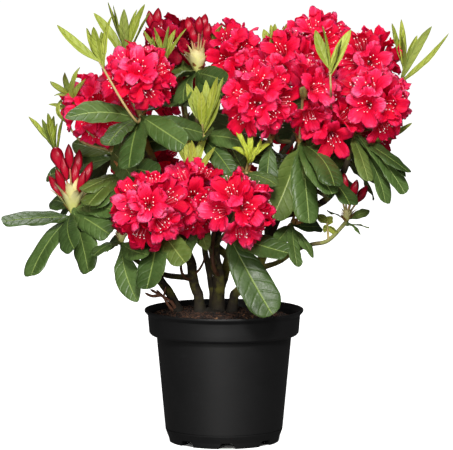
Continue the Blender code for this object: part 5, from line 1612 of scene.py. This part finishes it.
def makeScales(grown):
    pile = Pile()
    chance = random.Random("scales")
    for fact in grown.all("cup"):
        foot = np.array(tuple(fact["foot"]), float)
        tall, lean, broad = cupShapes.get(fact["node"], (30, 8, 10))
        for k in range(scaleSizes["cupCount"]):
            inner = k / scaleSizes["cupCount"]
            length = tall * (0.7 + 0.3 * inner) * chance.uniform(0.9, 1.08)
            spread = lean * chance.uniform(0.8, 1.15) * (1.12 - 0.5 * inner)
            width = broad * chance.uniform(0.85, 1.1) * (0.8 + 0.2 * inner)
            addScale(pile, foot, up, k * goldenTurn, length, width, spread, chance.uniform(-5, 3), 0, 1.4, 1.35)
    for name, plan in masses.items():
        stem = paths[name]
        axis = axisOf(plan, stem)
        collar = np.array(plan["collar"], float)
        for k in range(scaleSizes["bractCount"]):
            turn = k * goldenTurn + chance.uniform(-0.3, 0.3)
            length = chance.uniform(9, 15)
            foot = collar + np.array(tuple(axis)) * chance.uniform(-1, 6)
            width, spread, curl = chance.uniform(4, 7), chance.uniform(4, 12), chance.uniform(-4, 4)
            addScale(pile, foot, axis, turn, length, width, spread, curl, 1)
    return pile.build("scales", [gradedFinish("bud_scale"), gradedFinish("bract")], sharp=80)


# Pot: turned wall with rolled edges, a shallow groove near the foot, and drain notches.

pot = dict(
    outside=(
        (80, 0), (81.6, 8), (85.3, 18), (98.2, 156.5), (106, 156.5), (108.7, 159.6), (110.8, 185), (115.5, 190),
        (115.5, 193), (112.3, 193),
    ),
    inside=((108.4, 185.5), (106, 162), (95.7, 157), (81, 12), (0, 12)),
    underside=((0, 9.5), (70, 9.5), (70, 0)),
    segments=168, edge=0.9, grooveHeight=19.5, grooveDeep=0.8, grooveTall=2.2,
    notches=8, notchWide=21, notchHigh=8.5, notchTurn=3, notchDepths=(-64, -88),
)


def turnedOutline(points):
    # the outline with its corners rounded, and long stretches divided
    points = [Vector(p) for p in points]
    made = []
    for k, point in enumerate(points):
        before, after = points[k - 1], points[(k + 1) % len(points)]
        if point.x == 0:
            made.append(point)
            continue
        reach = min(pot["edge"], (before - point).length * 0.4, (after - point).length * 0.4)
        enter = point + (before - point).normalized() * reach
        leave = point + (after - point).normalized() * reach
        for t in (0, 0.33, 0.67, 1):
            made.append(enter * (1 - t) ** 2 + point * 2 * t * (1 - t) + leave * t * t)
    full = []
    for a, b in zip(made, made[1:] + made[:1]):
        count = max(1, int((b - a).length / 7)) if (b - a).length > 12 else 1
        full += [a.lerp(b, j / count) for j in range(count)]
    groove = pot["grooveHeight"]
    inner = []
    for a, b in zip(full, full[1:] + full[:1]):
        inner.append(a)
        if a.x > 84 and a.y < groove < b.y:
            for lift, deep in ((-0.5, 0), (-0.2, 1), (0.2, 1), (0.5, 0)):
                z = groove + lift * pot["grooveTall"]
                x = a.x + (b.x - a.x) * (z - a.y) / (b.y - a.y)
                inner.append(Vector((x - deep * pot["grooveDeep"], z)))
    return inner


def makePot():
    outline = turnedOutline([*pot["outside"], *pot["inside"], *pot["underside"]])
    top, under = [k for k, point in enumerate(outline) if point.x == 0]  # neighbours, on the axis
    turns = turnsOf(pot["segments"])
    rings = [np.stack([x * np.sin(turns), -x * np.cos(turns), np.full(len(turns), z)], -1)
             for x, z in outline[under + 1:] + outline[:top]]
    pile = Pile()
    pile.addRings(np.array(rings), [[0, 0, outline[under].y], [0, 0, outline[top].y]])
    body = pile.build("nursery_pot", [potFinish()], sharp=40)
    cutters = bpy.data.collections.new("notchCutters")
    bpy.context.scene.collection.children.link(cutters)
    half, high = pot["notchWide"] / 2, pot["notchHigh"]
    arch = [(half * 1.2, -2), (half * 1.1, 2), (half * 0.9, high * 0.75), (half * 0.72, high)]
    arch = [*arch, *((-x, z) for x, z in reversed(arch))]
    for k in range(pot["notches"]):
        turn = Matrix.Rotation(math.radians(pot["notchTurn"] + 360 / pot["notches"] * k), 3, "Z")
        rings = [[turn @ Vector((x, y, z)) for x, z in arch] for y in pot["notchDepths"]]
        verts, faces = skin(rings)
        mesh = bpy.data.meshes.new("notch")
        mesh.from_pydata([tuple(v * mm) for v in verts], [], faces)
        cutter = bpy.data.objects.new("notch", mesh)
        cutters.objects.link(cutter)
        bpy.context.view_layer.update()
        recalculate(mesh)
    cut = body.modifiers.new("notches", "BOOLEAN")
    cut.operation = "DIFFERENCE"
    cut.operand_type = "COLLECTION"
    cut.collection = cutters
    cut.solver = "EXACT"
    body = applied(body)
    for cutter in list(cutters.objects):
        bpy.data.objects.remove(cutter)
    bpy.data.collections.remove(cutters)
    body.data.shade_smooth()
    body.data.set_sharp_from_angle(angle=math.radians(38))
    return body


def recalculate(mesh):
    edit = bmesh.new()
    edit.from_mesh(mesh)
    bmesh.ops.recalc_face_normals(edit, faces=edit.faces)
    edit.to_mesh(mesh)
    edit.free()


def applied(piece):
    # the piece's modifiers made into plain mesh
    graph = bpy.context.evaluated_depsgraph_get()
    made = bpy.data.meshes.new_from_object(piece.evaluated_get(graph), preserve_all_data_layers=True, depsgraph=graph)
    piece.modifiers.clear()
    piece.data = made
    return piece


def sprayTree(name, **sockets):
    # a Geometry Nodes group with named inputs: its tree, and the inputs as wires
    group = bpy.data.node_groups.new(name, "GeometryNodeTree")
    for label, kind in dict(Geometry="Geometry", Piece="Object", **sockets, Seed="Int").items():
        group.interface.new_socket(label, in_out="INPUT", socket_type="NodeSocket" + kind)
    group.interface.new_socket("Geometry", in_out="OUTPUT", socket_type="NodeSocketGeometry")
    tree = Tree(group)
    source = group.nodes.new("NodeGroupInput")
    return tree, {item.name: Wire(tree, item) for item in source.outputs if item.name}


def randomly(tree, low, high, seed):
    return tree.add("FunctionNodeRandomValue", dict(data_type="FLOAT"), {2: low, 3: high, "Seed": seed}, 1)


def dealt(tree, inputs, points, turned, size):
    # the piece repeated on each point, as real mesh
    shape = tree.add("GeometryNodeObjectInfo", {}, dict(Object=inputs["Piece"]), "Geometry")
    sockets = dict(Points=points, Instance=shape, Rotation=turned, Scale=size)
    placed = tree.add("GeometryNodeInstanceOnPoints", {}, sockets)
    return tree.add("GeometryNodeRealizeInstances", {}, dict(Geometry=placed))


def sprayed(piece, final, **values):
    # the spray's result, its inputs set, made into the piece's plain mesh
    group = final.tree.tree
    group.links.new(final.socket, group.nodes.new("NodeGroupOutput").inputs[0])
    dress = piece.modifiers.new("spray", "NODES")
    dress.node_group = group
    for item in group.interface.items_tree:
        if item.in_out == "INPUT" and item.name in values:
            dress[item.identifier] = values[item.name]
    applied(piece)
    bpy.data.objects.remove(values["Piece"])
    piece.data.shade_smooth()


# Soil: the root ball, lumpy on top, with crumbs and wood chips scattered over it.

litter = dict(
    soil_crumbs=dict(
        kind="crumb", count=1900, size=4.2, seed=4, dark=(0.002, 0.001, 0.0008), pale=(0.085, 0.036, 0.018),
    ),
    wood_chips=dict(kind="chip", count=150, size=6.5, seed=5, dark=(0.08, 0.035, 0.015), pale=(0.26, 0.13, 0.06)),
)


def soilHeight(x, y):
    away = np.hypot(x - soil["middle"][0], y - soil["middle"][1])
    fall = np.clip((away - soil["level"]) / soil["fall"], 0, 1)
    lump = 1.6 * np.sin(0.11 * x + 1.3) * np.cos(0.13 * y) + 1.1 * np.sin(0.23 * x - 0.19 * y)
    return soil["crown"] - (soil["crown"] - soil["edge"]) * fall + np.minimum(lump, 2) * fall


def makeSoil():
    pile = Pile()
    around = soil["around"]
    turns = turnsOf(around)
    ring = np.stack([np.sin(turns), -np.cos(turns)], -1)
    rows = [np.concatenate([ring * radius, np.full((around, 1), height)], -1) for radius, height in soil["sides"]]
    for part in np.linspace(1, 0.02, soil["rings"]):
        flat = ring * soil["radius"] * part
        z = soilHeight(flat[:, 0], flat[:, 1])
        spots = np.concatenate([flat, np.zeros((around, 1))], -1)
        rough = soil["lump"] * noiseAt(spots, 11.0, 2.0) + soil["grain"] * noiseAt(spots, 3.6, 7.0)
        z = z + rough * min(1, (1 - part) * 25 + 0.15) - 0.6
        rows.append(np.concatenate([flat, z[:, None]], -1))
    grid = np.array(rows)
    pile.addRings(grid, [[0, 0, soil["floor"]], [0, 0, grid[-1, :, 2].mean()]])
    return pile.build("root_ball", [soilFinish()], sharp=70)


def lumpMesh(name, kind, seed):
    # one crumb or chip, about a unit across, that the scatter repeats
    chance = random.Random(seed)
    edit = bmesh.new()
    if kind == "crumb":
        bmesh.ops.create_icosphere(edit, subdivisions=1, radius=0.5)
        for vert in edit.verts:
            vert.co *= chance.uniform(0.65, 1.2)
    else:
        bmesh.ops.create_cube(edit, size=1.0)
        bmesh.ops.bevel(edit, geom=edit.edges[:], offset=0.12, segments=1, affect="EDGES")
        for vert in edit.verts:
            vert.co.x *= chance.uniform(0.8, 1.3)
            vert.co.y *= chance.uniform(0.28, 0.42)
            vert.co.z *= chance.uniform(0.14, 0.24)
    mesh = bpy.data.meshes.new(name)
    edit.to_mesh(mesh)
    edit.free()
    return mesh


def scatter(name, ground):
    # Geometry Nodes: pieces of one kind dealt over a ground mesh
    plan = litter[name]
    lump = bpy.data.objects.new(name + "_lump", lumpMesh(name + "_lump", plan["kind"], plan["seed"]))
    tree, inputs = sprayTree(name + "_scatter", Density="Float", Size="Float")
    spots = tree.add("GeometryNodeDistributePointsOnFaces", dict(distribute_method="RANDOM"),
                     dict(Mesh=inputs["Geometry"], Density=inputs["Density"], Seed=inputs["Seed"]))
    facing = Wire(tree, spots.socket.node.outputs["Rotation"])
    spin = tree.add("FunctionNodeRandomValue", dict(data_type="FLOAT_VECTOR"),
                    {0: (-0.5, -0.5, 0.0), 1: (0.5, 0.5, 6.283), "Seed": inputs["Seed"]})
    turned = tree.add("FunctionNodeRotateRotation", dict(rotation_space="LOCAL"), [facing, spin])
    real = dealt(tree, inputs, spots, turned, randomly(tree, 0.35, 1.25, inputs["Seed"]) * inputs["Size"])
    finish = crumbFinish(name[:-1], plan["dark"], plan["pale"])
    final = tree.add("GeometryNodeSetMaterial", {}, dict(Geometry=real, Material=finish))
    piece = stood(name, ground.copy())
    density = plan["count"] / sum(face.area for face in ground.polygons)
    sprayed(piece, final, Piece=lump, Density=density, Size=plan["size"] * mm, Seed=plan["seed"])
    piece.data.set_sharp_from_angle(angle=math.radians(40))
    return piece


def groundOf(body):
    # the root ball's top, drawn a little in from the wall, for the scatter to stand on
    edit = bmesh.new()
    edit.from_mesh(body.data)
    low = [f for f in edit.faces if f.normal.z < 0.3 or f.calc_center_median().xy.length > 101 * mm]
    bmesh.ops.delete(edit, geom=low, context="FACES")
    mesh = bpy.data.meshes.new("ground")
    edit.to_mesh(mesh)
    edit.free()
    return mesh


# Stamens: an arc of fine stalks with pale heads out of each floret.

stamen = dict(count=8, length=30.0, radius=0.30, spread=0.31, head=0.85, seed=3)


def stamenMesh():
    # one stamen standing on the origin along Z, a unit long; the head is marked
    pile = Pile()
    t = np.linspace(0, 1, 5)
    path = np.stack([0.10 * np.sin(t * math.pi * 0.9), 0 * t, t], -1)
    radius = stamen["radius"] / stamen["length"]
    addTube(pile, path, radius * (1.25 - 0.5 * t), 3, 0, marks=dict(tint=t, head=0 * t))
    s = np.linspace(-1, 1, 4)
    size = stamen["head"] / stamen["length"]
    tip = path[-1] + np.stack([s * size * 1.3, 0 * s, 0 * s + size * 0.2], -1)
    full = np.ones(len(s))
    addTube(pile, tip, size * np.sqrt(np.clip(1.04 - s ** 2, 0.1, 1)), 4, 0, marks=dict(tint=full, head=full))
    piece = pile.build("stamen", [], sharp=None)
    piece.data.transform(Matrix.Scale(1 / mm, 4))
    return piece


def makeStamens(grown):
    mesh = bpy.data.meshes.new("floretSpots")
    facts = grown.all("floret")
    mesh.from_pydata([tuple((fact["hub"] + fact["way"] * 17) * mm) for fact in facts], [], [])
    aim = mesh.attributes.new("aim", "FLOAT_VECTOR", "POINT")
    aim.data.foreach_set("vector", [part for fact in facts for part in fact["way"]])
    piece = stood("stamens", mesh)
    single = stamenMesh()
    tree, inputs = sprayTree("stamen_spray", Count="Int", Length="Float", Spread="Float")
    spots = tree.add("GeometryNodeMeshToPoints", {}, dict(Mesh=inputs["Geometry"]))
    many = dict(Geometry=spots, Amount=inputs["Count"])
    copies = tree.add("GeometryNodeDuplicateElements", dict(domain="POINT"), many)
    order = Wire(tree, copies.socket.node.outputs["Duplicate Index"])
    aimWire = tree.add("GeometryNodeInputNamedAttribute", dict(data_type="FLOAT_VECTOR"), dict(Name="aim"))
    facing = tree.add("FunctionNodeAlignRotationToVector", dict(axis="Z"), dict(Vector=aimWire))
    wobble = randomly(tree, 0.35, 1.1, inputs["Seed"])
    turn = tree.add("ShaderNodeCombineXYZ", {}, dict(Z=order * goldenTurn))
    lean = tree.add("ShaderNodeCombineXYZ", {}, dict(Y=wobble * inputs["Spread"]))
    turned = tree.add("FunctionNodeRotateRotation", dict(rotation_space="LOCAL"), [facing, turn])
    turned = tree.add("FunctionNodeRotateRotation", dict(rotation_space="LOCAL"), [turned, lean])
    real = dealt(tree, inputs, copies, turned, randomly(tree, 0.85, 1.1, inputs["Seed"] + 5) * inputs["Length"])
    isHead = tree.add("GeometryNodeInputNamedAttribute", dict(data_type="FLOAT"), dict(Name="head"))
    painted = tree.add("GeometryNodeSetMaterial", {}, dict(Geometry=real, Material=gradedFinish("filament")))
    chosen = tree.add("FunctionNodeCompare", dict(data_type="FLOAT", operation="GREATER_THAN"), {0: isHead, 1: 0.5})
    final = tree.add("GeometryNodeSetMaterial", {}, dict(Geometry=painted, Selection=chosen, Material=antherFinish()))
    sprayed(piece, final, Piece=single, Count=stamen["count"], Length=stamen["length"] * mm, Spread=stamen["spread"],
            Seed=stamen["seed"])
    return piece


# Camera and stage.

view = dict(
    eye=(0, -5.0, 0.86), aim=(0, 0, 0.325), lens=275.98, sensor=36, shift=(0.0055, -0.0147), floor=(0.7, 0.7, 0.69),
    backdrop=1.0, ambient=0.62, behind=0.035, glow=0.95, half=40, dark=0.074, bounce=(0.07, 0.07, 0.07),
)
lights = dict(  # (place, size, power, colour)
    key=((0.2, -3.1, 2.3), 0.8, 148, (1, 0.985, 0.96)), fill=((-0.7, -3.3, 0.8), 0.9, 46, (1, 0.99, 0.96)),
    top=((-0.4, 1.9, 3.0), 1.4, 46, (1, 1, 1)),
)


def makeView():
    data = bpy.data.cameras.new("view")
    data.lens, data.sensor_width = view["lens"], view["sensor"]
    data.shift_x, data.shift_y = view["shift"]
    data.clip_end = 60
    bpy.context.scene.camera = aimed(stood("view", data), view["eye"], view["aim"])


def aimed(thing, place, aim):
    thing.location = place
    thing.rotation_euler = (Vector(aim) - Vector(place)).to_track_quat("-Z", "Y").to_euler()
    return thing


def makeLights():
    for name, (place, size, power, colour) in lights.items():
        data = bpy.data.lights.new(name, "AREA")
        data.shape = "DISK"
        data.size, data.energy, data.color = size, power, colour
        aimed(stood(name, data), place, (0, 0, 0.35))


def makeStage():
    world = bpy.data.worlds.new("studio")
    world.use_nodes = True
    bpy.context.scene.world = world
    tree = Tree(world.node_tree)
    background = world.node_tree.nodes["Background"]
    seen = tree.add("ShaderNodeLightPath", {}, (), "Is Camera Ray")
    _, ahead, high = tree.parts(tree.add("ShaderNodeTexCoord", {}))
    lit = (high * 0.5 - ahead * 1.6 - 0.55).clamp()  # dark drapes behind the plant and beside it
    around = view["behind"] + lit * (view["ambient"] - view["behind"])
    strength = seen * view["backdrop"] + (1 - seen) * around
    tree.tree.links.new(strength.socket, background.inputs[1])
    background.inputs[0].default_value = (1, 1, 1, 1)
    mesh = bpy.data.meshes.new("floor")
    half = view["half"]
    mesh.from_pydata([(-half, -half, 0), (half, -half, 0), (half, half, 0), (-half, half, 0)], [], [(0, 1, 2, 3)])
    finish = Finish("pale_floor", Roughness=0.9)
    seen = finish.add("ShaderNodeLightPath", {}, (), "Is Camera Ray")
    pale = finish.mix(finish.noise(0.6, 2), view["floor"], (0.74, 0.74, 0.73))
    finish.feed("Base Color", finish.mix(seen, view["bounce"], pale))  # throws less light back than it shows
    away = finish.add("ShaderNodeVectorMath", dict(operation="LENGTH"), [finish.place()], 1)
    beyond = ((away - view["dark"]) * 200).clamp()
    shown = seen * view["glow"] * beyond  # none under the pot
    finish.feed("Emission Color", finish.mix(shown, (0.0, 0.0, 0.0), (1.0, 1.0, 1.0)))
    finish.shader.inputs["Emission Strength"].default_value = 1.0
    mesh.materials.append(finish.made)
    stood("floor", mesh)
    settings = bpy.context.scene.view_settings
    settings.view_transform = "Standard"
    settings.look = "None"


grown, paths = growPlant()
hand(makeBark(grown), "bark", "trunk", "stem_outer_left", *limbs)
hand(makeTwigs(grown), "bark")
hand(makeLeaves(grown), "leaf")
hand(makeYoungLeaves(grown), "leaf")
for part in makeFlorets(grown):
    hand(part, "blossom", *(masses if part.name == "florets_1" else ()))
hand(makePedicels(grown), "leaf")
hand(makeBuds(grown), "blossom")
hand(makeStamens(grown), "blossom")
hand(makeScales(grown), "leaf")
hand(makePot(), "pot", "pot")
rootBall = hand(makeSoil(), "soil", "soil")
ground = groundOf(rootBall)
for name in litter:
    hand(scatter(name, ground), "soil")
makeLights()
makeStage()
makeView()
